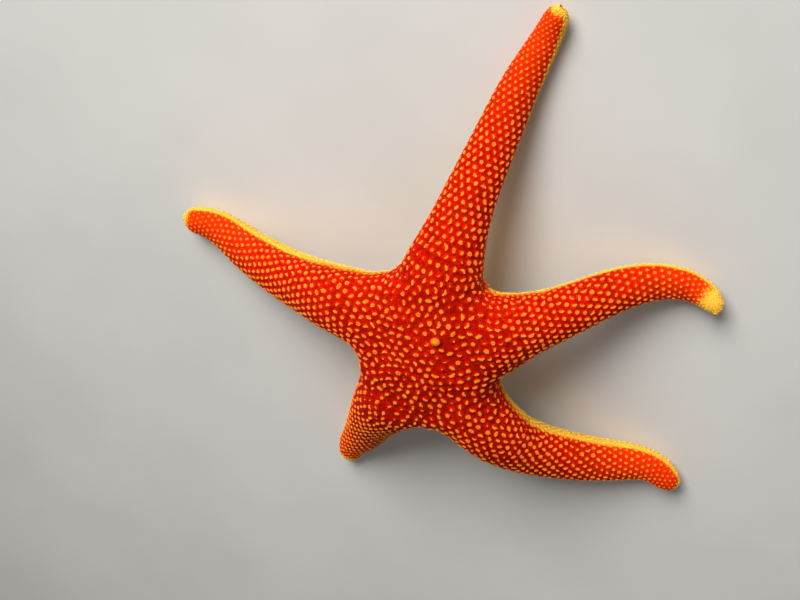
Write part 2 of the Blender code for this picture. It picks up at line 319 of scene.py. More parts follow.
class ShaderGraph:
    """A Principled material under construction, in the star's own coordinates."""

    noise_low = 0.3
    noise_high = 0.7
    noise_roughness = 0.55

    def __init__(self, name: str, roughness: float, **constants: float | Numbers) -> None:
        """Starts the material.

        Args:
            name: The material's name.
            roughness: The shader's roughness where nothing is linked to it.
            constants: Other values of the shader, with _ for a space in the socket's name.
        """
        self.material = bpy.data.materials.new(name)
        self.material.use_nodes = True
        self.tree = self.material.node_tree
        self.shader = self.tree.nodes["Principled BSDF"]
        self.shader.inputs["Roughness"].default_value = roughness
        for socket, value in constants.items():
            self.shader.inputs[socket.replace("_", " ")].default_value = value
        self.places = self.tree.nodes.new("ShaderNodeTexCoord").outputs["Object"]

    def put(self, node: bpy.types.Node, socket: str | int, value: object) -> None:
        """Sets or links one input of a node.

        Args:
            node: The node.
            socket: The input's name or number.
            value: A socket to link, or a number or colour to set.
        """
        if isinstance(value, Socket):
            self.tree.links.new(value, node.inputs[socket])
        elif isinstance(value, tuple):
            node.inputs[socket].default_value = (*value, 1.0)
        else:
            node.inputs[socket].default_value = value

    def mark(self, name: str) -> Socket:
        """The value of a mark on the mesh."""
        node = self.tree.nodes.new("ShaderNodeAttribute")
        node.attribute_name = name
        return node.outputs["Fac"]

    def noise(self, size: float, detail: float = 3.0) -> Socket:
        """Soft noise.

        Args:
            size: The size of its largest lumps.
            detail: How many finer levels it has.

        Returns:
            Its value, about 0.5 on average.
        """
        node = self.tree.nodes.new("ShaderNodeTexNoise")
        self.put(node, "Vector", self.places)
        self.put(node, "Scale", 1.0 / size)
        self.put(node, "Detail", detail)
        self.put(node, "Roughness", self.noise_roughness)
        return node.outputs["Fac"]

    def cells(self, size: float) -> Socket:
        """The distance to the middle of the nearest cell of a pebbled pattern.

        Args:
            size: The size of a cell.

        Returns:
            The distance, as a share of the cell.
        """
        node = self.tree.nodes.new("ShaderNodeTexVoronoi")
        node.feature = "SMOOTH_F1"
        self.put(node, "Vector", self.places)
        self.put(node, "Scale", 1.0 / size)
        return node.outputs["Distance"]

    def spread(self, value: Socket, low: float, high: float,
               first: float = 0.0, last: float = 1.0) -> Socket:
        """Maps a range of values to another, softly.

        Args:
            value: The value.
            low: Where the result is first.
            high: Where the result is last.
            first: The result at low.
            last: The result at high.

        Returns:
            The mapped value.
        """
        node = self.tree.nodes.new("ShaderNodeMapRange")
        node.interpolation_type = "SMOOTHSTEP"
        names = ("Value", "From Min", "From Max", "To Min", "To Max")
        for socket, number in zip(names, (value, low, high, first, last)):
            self.put(node, socket, number)
        return node.outputs["Result"]

    def vary(self, noise: Socket, first: float = 0.0, last: float = 1.0) -> Socket:
        """Maps the usual range of a noise to another."""
        return self.spread(noise, self.noise_low, self.noise_high, first, last)

    def sum(self, operation: Sum, first: object, second: object) -> Socket:
        """One sum of two values.

        Args:
            operation: Which sum.
            first: A socket or a number.
            second: A socket or a number.

        Returns:
            The result.
        """
        node = self.tree.nodes.new("ShaderNodeMath")
        node.operation = operation.value
        self.put(node, 0, first)
        self.put(node, 1, second)
        return node.outputs[0]

    def blend(self, share: object, first: object, second: object) -> Socket:
        """Mixes two colours.

        Args:
            share: How much of the second colour shows.
            first: A colour or a socket.
            second: A colour or a socket.

        Returns:
            The mixed colour.
        """
        node = self.tree.nodes.new("ShaderNodeMix")
        node.data_type = "RGBA"
        self.put(node, "Factor", share)
        self.put(node, 6, first)
        self.put(node, 7, second)
        return node.outputs[2]

    def bump(self, height: Socket, depth: float, strength: float = 1.0) -> None:
        """Gives the surface a fine relief, over any relief that it has already.

        Args:
            height: The relief's height, from 0 to 1.
            depth: How deep it is.
            strength: How much of it shows.
        """
        node = self.tree.nodes.new("ShaderNodeBump")
        self.put(node, "Height", height)
        self.put(node, "Distance", depth)
        self.put(node, "Strength", strength)
        normal = self.shader.inputs["Normal"]
        if normal.is_linked:
            self.put(node, "Normal", normal.links[0].from_socket)
        self.tree.links.new(node.outputs["Normal"], normal)

    def finish(self, colour: object, roughness: Socket | None = None) -> Material:
        """Links the colour and, if given, the roughness.

        Args:
            colour: A socket.
            roughness: A socket, where the roughness varies.

        Returns:
            The material.
        """
        self.put(self.shader, "Base Color", colour)
        if roughness is not None:
            self.put(self.shader, "Roughness", roughness)
        return self.material


@dataclass(frozen=True)
class StarColours:
    """The star's colours, as linear red, green and blue, and one painted shade for the hollows between the
    tufts.
    """

    scarlet: Colour = (0.61, 0.004, 0.001)
    deep: Colour = (0.35, 0.002, 0.001)
    orange: Colour = (0.86, 0.042, 0.002)
    cream: Colour = (0.96, 0.49, 0.052)
    flush: Colour = (0.78, 0.012, 0.002)
    apricot: Colour = (0.90, 0.16, 0.008)
    straw: Colour = (0.93, 0.73, 0.12)
    wheat: Colour = (0.92, 0.50, 0.045)
    amber: Colour = (0.90, 0.38, 0.016)
    ochre: Colour = (0.66, 0.26, 0.005)
    ember: Colour = (0.16, 0.006, 0.004)
    # Painted shade: a near-black red laid into the hollows between the tufts, not a colour of the skin
    # itself.
    shade: Colour = (0.16, 0.001, 0.001)


COLOURS = StarColours()


@dataclass(frozen=True)
class Finish:
    """A finish.

    Attributes:
        grain: The size of its grain.
    """

    grain: float


@dataclass(frozen=True)
class SkinFinish(Finish):
    """Soft wet skin: scarlet, warmer toward the arm ends and round the tufts, with painted shade in the
    hollows between the tufts, and straw under the arms.
    """

    grain: float = 0.30 * MM
    mottle: float = 1.3 * MM

    def material(self) -> Material:
        """The finish as a material."""
        graph = ShaderGraph("scarlet_skin", 0.6, Specular_IOR_Level=0.05, Specular_Tint=(1.0, 0.3, 0.12, 1.0))
        mottle = graph.spread(graph.noise(self.mottle), 0.32, 0.68)
        grain = graph.noise(self.grain, 2.0)
        red = graph.blend(mottle, COLOURS.deep, COLOURS.scarlet)
        # The warm mark is the skin's own orange, and round each tuft also partly a painted glow of light
        # through the flesh.
        warmth = graph.sum(Sum.MULTIPLY, graph.mark("warm"), graph.vary(grain, 0.75, 1.25))
        red = graph.blend(graph.sum(Sum.LEAST, warmth, 1.0), red, COLOURS.orange)
        red = graph.blend(graph.spread(grain, 0.52, 0.72, 0.0, 0.5), red, COLOURS.flush)
        # Painted shade: the skin darkens toward the shade colour in the hollows between the tufts, most on
        # the disc and less where the skin is warm.
        valley_shade = graph.spread(graph.mark("near"), 0.0, 0.45, 0.34, 0.0)
        valley_shade = graph.sum(Sum.MULTIPLY, valley_shade, graph.spread(graph.mark("warm"), 0.1, 0.9, 1.0, 0.15))
        red = graph.blend(valley_shade, red, COLOURS.shade)
        pale = graph.sum(Sum.ADD, graph.mark("pale"), graph.vary(grain, -0.22, 0.22))
        between = graph.blend(graph.spread(pale, 0.12, 0.50), red, COLOURS.apricot)
        colour = graph.blend(graph.spread(pale, 0.45, 0.95), between, COLOURS.wheat)
        graph.bump(graph.cells(self.grain), 0.05 * MM, 0.6)
        return graph.finish(colour, graph.vary(grain, 0.55, 0.72))


@dataclass(frozen=True)
class SpineFinish(Finish):
    """Limy spinelets: cream with an apricot foot, each tuft a little different, darker apricot as painted
    shade on the lower flanks, and straw at the margins.
    """

    grain: float = 0.12 * MM

    def material(self) -> Material:
        """The finish as a material."""
        graph = ShaderGraph("pale_spines", 0.5, Specular_IOR_Level=0.15, Specular_Tint=(1.0, 0.7, 0.4, 1.0))
        grain = graph.noise(self.grain, 2.0)
        body = graph.blend(graph.mark("pale"), COLOURS.cream, COLOURS.straw)
        # The tint mark turns a tuft toward apricot: at random for each tuft, toward the arm ends, and as
        # painted shade on the lower flanks.
        body = graph.blend(graph.sum(Sum.MULTIPLY, graph.mark("tint"), 0.50), body, COLOURS.apricot)
        middle = graph.blend(graph.mark("pale"), COLOURS.apricot, COLOURS.cream)
        foot = graph.blend(graph.mark("pale"), COLOURS.orange, COLOURS.amber)
        rise = graph.sum(Sum.ADD, graph.mark("rise"), graph.vary(grain, -0.1, 0.1))
        lower = graph.blend(graph.spread(rise, 0.05, 0.40), foot, middle)
        colour = graph.blend(graph.spread(rise, 0.30, 0.95), lower, body)
        graph.bump(grain, 0.012 * MM)
        return graph.finish(colour, graph.vary(grain, 0.42, 0.58))


@dataclass(frozen=True)
class FootFinish(Finish):
    """Tube feet: watery straw flesh with a paler sucker."""

    grain: float = 0.20 * MM

    def material(self) -> Material:
        """The finish as a material."""
        graph = ShaderGraph("foot_flesh", 0.35, Specular_IOR_Level=0.5)
        grain = graph.noise(self.grain, 2.0)
        body = graph.blend(graph.vary(grain), COLOURS.amber, COLOURS.straw)
        colour = graph.blend(graph.spread(graph.mark("rise"), 0.2, 0.9), body, COLOURS.cream)
        graph.bump(grain, 0.02 * MM)
        return graph.finish(colour, graph.vary(grain, 0.28, 0.42))


@dataclass(frozen=True)
class MouthFinish(Finish):
    """The thin film round the mouth: straw, reddening toward its hollow middle."""

    grain: float = 0.35 * MM

    def material(self) -> Material:
        """The finish as a material."""
        graph = ShaderGraph("mouth_skin", 0.4, Specular_IOR_Level=0.45)
        grain = graph.noise(self.grain)
        body = graph.blend(graph.vary(grain), COLOURS.apricot, COLOURS.straw)
        inner = graph.blend(graph.vary(grain), COLOURS.deep, COLOURS.apricot)
        colour = graph.blend(graph.spread(graph.mark("rise"), 0.3, 0.9), body, inner)
        graph.bump(grain, 0.05 * MM)
        return graph.finish(colour, graph.vary(grain, 0.30, 0.46))


@dataclass(frozen=True)
class ButtonFinish(Finish):
    """The sieve button: smooth orange stone with darker furrows."""

    grain: float = 0.15 * MM

    def material(self) -> Material:
        """The finish as a material."""
        graph = ShaderGraph("button", 0.5, Specular_IOR_Level=0.2, Specular_Tint=(1.0, 0.7, 0.4, 1.0))
        grain = graph.noise(self.grain)
        body = graph.blend(graph.vary(grain), COLOURS.ochre, COLOURS.amber)
        colour = graph.blend(graph.spread(graph.mark("rise"), 0.1, 0.8), COLOURS.orange, body)
        graph.bump(grain, 0.02 * MM)
        return graph.finish(colour, graph.vary(grain, 0.40, 0.55))


@dataclass(frozen=True)
class EyeFinish(Finish):
    """The eyespots: glossy ember red, a little uneven."""

    grain: float = 0.12 * MM

    def material(self) -> Material:
        """The finish as a material."""
        graph = ShaderGraph("eyespot", 0.2, Specular_IOR_Level=0.55)
        grain = graph.noise(self.grain, 2.0)
        colour = graph.blend(graph.spread(grain, 0.35, 0.65), COLOURS.ember, COLOURS.deep)
        graph.bump(grain, 0.01 * MM)
        return graph.finish(colour, graph.vary(grain, 0.15, 0.28))


@dataclass(frozen=True)
class FloorFinish:
    """The plain pale floor, with a faint unevenness."""

    patch: float = 40.0 * MM
    first: Colour = (0.60, 0.60, 0.59)
    second: Colour = (0.64, 0.64, 0.63)

    def material(self) -> Material:
        """The finish as a material."""
        graph = ShaderGraph("pale_floor", 0.75, Specular_IOR_Level=0.2)
        return graph.finish(graph.blend(graph.vary(graph.noise(self.patch)), self.first, self.second))


# The skin and its arms


@dataclass
class ArmLine:
    """The middle line of one arm, found by walking out through it from its first cut.

    Attributes:
        name: The arm's name, as its nodes have it.
        pale_cap: How far back from its end the arm is pale all round.
        pale_shift: How much higher up its flanks the pale margin reaches than on the other arms.
        pale_roll: How much more of that there is on its right flank than on its left.
        step: The length of one step.
        most_steps: The most steps that a walk takes.
        memory: How many steps back the way is taken from.
        keenness: How much of that turns each step.
        join: How far the arm's width isn't measured where it meets the disc, and how far it is
            measured on the arm's own solids instead of on the skin.
        equator_share: How far up between groove and crest the widest place is.
        middles: Points along the line.
        aheads: The line's direction at each.
        lefts: The direction across the arm at each.
        ups: The direction away from the groove at each.
        half_widths: Half the arm's width at each.
    """

    name: str
    pale_cap: float
    pale_shift: float
    pale_roll: float
    step: float = 0.4 * MM
    most_steps: int = 400
    memory: int = 6
    keenness: float = 0.4
    join: tuple[float, float] = (2.4 * MM, 7.5 * MM)
    equator_share: float = 0.36
    middles: Array = field(init=False)
    aheads: Array = field(init=False)
    lefts: Array = field(init=False)
    ups: Array = field(init=False)
    half_widths: Array = field(init=False)

    @property
    def nodes(self) -> list[str]:
        """The names of the arm's lengths of flesh."""
        return [f"{self.name}_{length}" for length in LENGTH_NAMES]

    @property
    def length(self) -> float:
        """The length of the line."""
        return self.step * (len(self.middles) - 1)

    def first_cut(self, node: Piece, outward: Array) -> tuple[Array, Array]:
        """The flat cut where the arm leaves the disc.

        Args:
            node: The arm's first length.
            outward: The level direction from the star's centre to it.

        Returns:
            The cut's middle, and the level direction that it faces away from.
        """
        flats = [face for face in node.data.polygons if np.dot(face.normal, outward) < -0.75]
        sizes = np.array([face.area for face in flats])[:, None]
        middle = (np.array([face.center for face in flats]) * sizes).sum(axis=0) / sizes.sum()
        facing = (np.array([face.normal for face in flats]) * sizes).sum(axis=0)
        return middle, unit(facing * (-1.0, -1.0, 0.0))

    def walk(self, skin: BVHTree, flesh: BVHTree, node: Piece, centre: Array) -> None:
        """Finds the line.

        Args:
            skin: The closed skin.
            flesh: The arm's own solids, which give its width where it joins the disc.
            node: The arm's first length.
            centre: The star's centre.
        """
        low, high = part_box(node.name)
        outward = (np.array(low) + np.array(high)) / 2.0 - centre
        middle, ahead = self.first_cut(node, unit(outward * LEVEL))
        rows = []
        width = 0.0
        while len(rows) < self.most_steps:
            left = unit(np.cross(UP, ahead))
            up = np.cross(ahead, left)
            above, below = distance_to(skin, middle, up), distance_to(skin, middle, -up)
            middle = middle + up * (self.equator_share * (above + below) - below)
            travelled = len(rows) * self.step
            if travelled > self.join[0]:
                sides = flesh if travelled < self.join[1] else skin
                aside = [distance_to(sides, middle, way) for way in (left, -left)]
                if min(aside) > 0.0:
                    middle = middle + left * (aside[0] - aside[1]) / 2.0
                    width = (aside[0] + aside[1]) / 2.0
            rows.append((middle, ahead, left, up, width))
            if distance_to(skin, middle, ahead) < 1.2 * self.step:
                break
            if len(rows) > self.memory:
                way = unit(middle - rows[-self.memory][0])
                ahead = unit((1.0 - self.keenness) * ahead + self.keenness * way)
            middle = middle + ahead * self.step
        self.middles, self.aheads, self.lefts, self.ups, self.half_widths = map(np.array, zip(*rows))
        known = self.half_widths > 0.0
        self.half_widths[~known] = self.half_widths[known][0]


def distance_to(skin: BVHTree, start: Array, way: Array) -> float:
    """How far the closed skin is from a point in a direction, or 0 where nothing is hit."""
    return skin.ray_cast(Vector(start), Vector(way))[3] or 0.0


def skin_above(skin: BVHTree, place: Array) -> Vector | None:
    """The first point of the skin over a place, looked for from far below."""
    return skin.ray_cast(Vector(place - FAR_BELOW * UP), Vector(UP))[0]


@dataclass
class SkinZones:
    """Where each point of the skin lies on the star.

    Attributes:
        arm: The number of the arm, or -1 on the disc.
        share: How far along the arm it is, from 0 at the first cut to 1 at the end.
        turn: How far round the arm it is, from 0 in the groove, over the right flank, to 1.
        aside: The distance from the middle of the groove, across the arm.
        ahead: The direction of the arm's line, where the point is nearest to it.
        lift: The height of the skin's normal against the arm's own up, from -1 to 1.
        pale: How much of the pale margin it has.
        warm: How orange it is.
    """

    arm: Array
    share: Array
    turn: Array
    aside: Array
    ahead: Array
    lift: Array
    pale: Array
    warm: Array


@dataclass
class StarPlan:
    """The five arm lines round the centre, and the zones that they set out.

    Attributes:
        centre: The star's centre, on the floor.
        arms: The arms' lines.
        margin_stations: Shares of an arm's length.
        margin_levels: How high on the flank the pale margin reaches at each.
        margin_blur: How softly it ends.
        warmth: How orange the back is at an arm's base, how much more at its end, and how much more
            beside the pale margin.
        map_width: The width of the disc's part of the unwrap.
        map_edge: The rim left free round an arm's strip.
    """

    centre: Array
    arms: list[ArmLine]
    margin_stations: Numbers = (0.0, 0.25, 0.55, 0.85, 1.0)
    margin_levels: Numbers = (-0.34, -0.16, -0.02, 0.16, 0.30)
    margin_blur: float = 0.34
    warmth: tuple[float, float, float] = (0.05, 0.72, 0.22)
    map_width: float = 80.0 * MM
    map_edge: float = 0.02

    def __post_init__(self) -> None:
        """Prepares the search over all the lines."""
        self.owner = np.concatenate([np.full(len(arm.middles), i) for i, arm in enumerate(self.arms)])
        self.order = np.concatenate([np.arange(len(arm.middles)) for arm in self.arms])
        for part in ("middles", "aheads", "lefts", "ups", "half_widths"):
            setattr(self, part, np.concatenate([getattr(arm, part) for arm in self.arms]))
        for part in ("length", "step", "pale_cap", "pale_shift", "pale_roll"):
            setattr(self, part, np.array([getattr(arm, part) for arm in self.arms]))
        self.tree = tree_of(self.middles)

    def zones(self, points: Array, normals: Array) -> SkinZones:
        """Places points of the skin on the star.

        Args:
            points: The points.
            normals: The skin's normals there.

        Returns:
            Their zones.
        """
        near = np.array([self.tree.find(point)[1] for point in points])
        offset = points - self.middles[near]
        along = np.einsum("ij,ij->i", offset, self.aheads[near])
        aside = np.einsum("ij,ij->i", offset, self.lefts[near])
        above = np.einsum("ij,ij->i", offset, self.ups[near])
        arm = self.owner[near]
        order = self.order[near]
        inside = (order == 0) & (along < 0.0)
        reach = order * self.step[arm] + np.where(order == 0, along, 0.0)
        share = np.clip(reach / self.length[arm], 0.0, 1.0)
        turn = (np.arctan2(above, -aside) / (2.0 * math.pi) + 0.25) % 1.0
        lift = np.einsum("ij,ij->i", normals, self.ups[near])
        lift = np.where(inside, normals[:, 2], lift)
        level = np.interp(share, self.margin_stations, self.margin_levels)
        roll = self.pale_roll[arm] * np.clip(-aside / self.half_widths[near], -1.0, 1.0)
        level += self.pale_shift[arm] * ease(0.1, 0.5, share) + roll * ease(0.45, 1.0, share)
        from_end = (1.0 - share) * self.length[arm] - np.maximum(along, 0.0) * (share > 0.99)
        from_end += self.step[arm]
        blur = self.margin_blur * (1.8 - 0.8 * ease(0.15, 0.6, share))
        pale = 1.0 - ease(-blur / 2.0, blur / 2.0, lift - level)
        pale = np.maximum(pale, 1.0 - ease(0.55, 1.5, from_end / self.pale_cap[arm]))
        base, end, flank = self.warmth
        warm = base + end * ease(0.38, 1.02, share) + flank * (1.0 - ease(level, level + 0.5, lift))
        arm = np.where(inside, -1, arm)
        return SkinZones(arm, share, turn, aside, self.aheads[near], lift, pale, np.clip(warm, 0.0, 1.0))

    def map_places(self, points: Array, zones: SkinZones) -> Array:
        """The place of each point on an unwrap of the skin.

        The skin of an arm unrolls into a strip from its groove. The disc opens into its top and its
        underside, each spread flat from its middle.

        Args:
            points: The points.
            zones: Their zones.

        Returns:
            Two map coordinates in each row.
        """
        strip = self.map_edge + (1.0 - 2.0 * self.map_edge) * np.stack((zones.turn, zones.share), axis=1)
        middle = np.where(zones.lift > 0.0, 0.25, 0.75)
        level = (points[:, :2] - self.centre[:2]) / self.map_width
        round_disc = np.stack((middle + level[:, 0], 0.5 + level[:, 1]), axis=1)
        return np.where(zones.arm[:, None] < 0, round_disc, strip)


@dataclass
class StarSkin:
    """One skin over all the flesh.

    Attributes:
        depth: How far it lies inside the solids, which is the height of the tufts.
        swell: How far the solids are swollen to close their cuts before they are made one.
        pitch: The width of its faces.
        smoothing: How many times its shape is evened out.
        widest_cut: How far apart the walls of a cut or socket can be.
        mound: How high the skin rises under a tuft.
        mound_range: The tufts' spacing up to which there is none, and from which it is full.
        points: The skin's points.
        faces: Its squares.
        edges: Its edges.
    """

    depth: float = 0.34 * MM
    swell: float = 0.24 * MM
    pitch: float = 0.29 * MM
    smoothing: int = 26
    widest_cut: float = 0.5 * MM
    mound: float = 0.13 * MM
    mound_range: tuple[float, float] = (0.55 * MM, 1.45 * MM)
    points: Array = field(init=False)
    faces: Array = field(init=False)
    edges: Array = field(init=False)

    def gather(self, nodes: list[Piece]) -> tuple[Array, Array, Array]:
        """Reads the solids.

        Args:
            nodes: The solids that the skin covers.

        Returns:
            Their points, their normals there and their triangles.
        """
        rows = []
        count = 0
        for node in nodes:
            mesh = node.data
            mesh.calc_loop_triangles()
            places = read_all(mesh.vertices, "co", 3).round(7)
            corners = read_all(mesh.loop_triangles, "vertices", 3, np.int32)
            places, index = np.unique(places, axis=0, return_inverse=True)
            places, triangles = places.astype(float), index.reshape(-1)[corners]
            rows.append((places, point_normals(places, triangles), triangles + count))
            count += len(places)
        return tuple(map(np.concatenate, zip(*rows)))

    def close(self, points: Array, faces: Array) -> None:
        """Makes the swollen solids one closed surface of even faces.

        Args:
            points: The swollen points.
            faces: Their triangles.
        """
        blank = bpy.data.materials.new("helper")
        rough = mesh_object("helper", points, faces, blank, {})
        remesh = rough.modifiers.new("one_surface", "REMESH")
        remesh.mode = "VOXEL"
        remesh.voxel_size = self.pitch
        graph = bpy.context.evaluated_depsgraph_get()
        made = bpy.data.meshes.new_from_object(rough.evaluated_get(graph))
        self.points = read_all(made.vertices, "co", 3).astype(float)
        self.faces = read_all(made.loops, "vertex_index", 1, np.int32).reshape(-1, 4)
        self.edges = read_all(made.edges, "vertices", 2, np.int32)
        bpy.data.objects.remove(rough)
        bpy.data.meshes.remove(made)
        bpy.data.materials.remove(blank)

    def evened(self, values: Array, times: int, amount: float = 0.5) -> Array:
        """Evens out values over the skin.

        Args:
            values: One row for each point.
            times: How many times.
            amount: How far each point goes toward its neighbours' mean.

        Returns:
            The evened values.
        """
        count = len(self.points)
        first, second = self.edges.T
        degree = np.bincount(self.edges.ravel(), minlength=count)
        values = values.reshape(count, -1).copy()
        for _ in range(times):
            for column in values.T:
                total = np.bincount(first, column[second], count) + np.bincount(second, column[first], count)
                column += amount * (total / degree - column)
        return values

    def normals(self) -> Array:
        """The skin's normals at its points."""
        return point_normals(self.points, self.faces)

    def sink(self, solid: BVHTree) -> None:
        """Moves the skin to its depth under the solids' surface.

        Args:
            solid: The surface of the solids.
        """
        normals = self.normals()
        proud = np.zeros(len(self.points))
        for index, point in enumerate(self.points):
            nearest, face_normal, _, distance = solid.find_nearest(Vector(point))
            outward = (point - np.array(nearest)) @ np.array(face_normal)
            proud[index] = math.copysign(distance, outward)
        proud = self.evened(proud, 6)[:, 0]
        self.points = self.points - normals * (proud + self.depth)[:, None]

    def open_faces(self, points: Array, faces: Array) -> Array:
        """Leaves out the walls of the cuts and sockets, which face another solid close by.

        Args:
            points: The points of all the solids.
            faces: Their triangles.

        Returns:
            The triangles that are left.
        """
        solids = BVHTree.FromPolygons(points.tolist(), faces.tolist())
        corners = points[faces]
        middles = corners.mean(axis=1)
        ways = unit(np.cross(corners[:, 1] - corners[:, 0], corners[:, 2] - corners[:, 0]))
        starts = middles + 0.002 * MM * ways
        keep = []
        for start, way in zip(starts, ways):
            keep.append(solids.ray_cast(Vector(start), Vector(way), self.widest_cut)[0] is None)
        return faces[keep]

    def make(self, nodes: list[Piece], eyes: list[Piece]) -> None:
        """Builds the skin's shape, without the mounds.

        Args:
            nodes: The solids that the skin covers.
            eyes: The solids that it only runs on over.
        """
        points, normals, faces = self.gather([*nodes, *eyes])
        flesh = len(self.gather(nodes)[0])
        outside = self.open_faces(points, faces)
        outside = outside[(outside < flesh).all(axis=1)]
        solid = BVHTree.FromPolygons(points.tolist(), outside.tolist())
        self.close(points + self.swell * normals, faces)
        for times in (self.smoothing, 4):
            self.points = self.evened(self.points, times)
            self.sink(solid)
        self.points = self.evened(self.points, 1)
        self.points[:, 2] = np.maximum(self.points[:, 2], self.depth)
        LOG.info("skin: %d points", len(self.points))

    def tree(self) -> BVHTree:
        """A search tree over the skin."""
        return BVHTree.FromPolygons(self.points.tolist(), self.faces.tolist())

    def raise_mounds(self, roots: "TuftRoots") -> Array:
        """Lifts the skin under each tuft.

        Args:
            roots: The tufts' roots.

        Returns:
            How near each point is to a tuft, from 0 to 1.
        """
        tree = tree_of(roots.points)
        found = [tree.find(point)[1:] for point in self.points]
        index = np.array([entry[0] for entry in found])
        distance = np.array([entry[1] for entry in found])
        spacing = roots.spacing[index]
        near = np.clip(1.0 - (distance / (0.55 * spacing)) ** 2, 0.0, 1.0) ** 2
        normals = self.normals()
        level = 0.45 + 0.55 * ease(0.0, 0.6, np.abs(normals[:, 2]))
        height = self.mound * ease(*self.mound_range, spacing) * level
        self.points = self.points + normals * (height * near)[:, None]
        return near


def point_normals(points: Array, faces: Array) -> Array:
    """The normals at the points of a mesh.

    Args:
        points: One point in each row.
        faces: Triangles or squares.

    Returns:
        One normal in each row.
    """
    corners = points[faces]
    across = corners[:, -2] - corners[:, 0], corners[:, -1] - corners[:, 1 if faces.shape[1] == 4 else 0]
    flat = np.cross(*across)
    total = np.zeros_like(points)
    for axis in range(3):
        for corner in range(faces.shape[1]):
            total[:, axis] += np.bincount(faces[:, corner], flat[:, axis], len(points))
    return unit(total)


# The tufts of spinelets


@dataclass
class TuftRoots:
    """Where the tufts stand.

    Attributes:
        points: Their places on the skin.
        normals: The skin's normals there.
        spacing: How far each is from its neighbours.
    """

    points: Array
    normals: Array
    spacing: Array


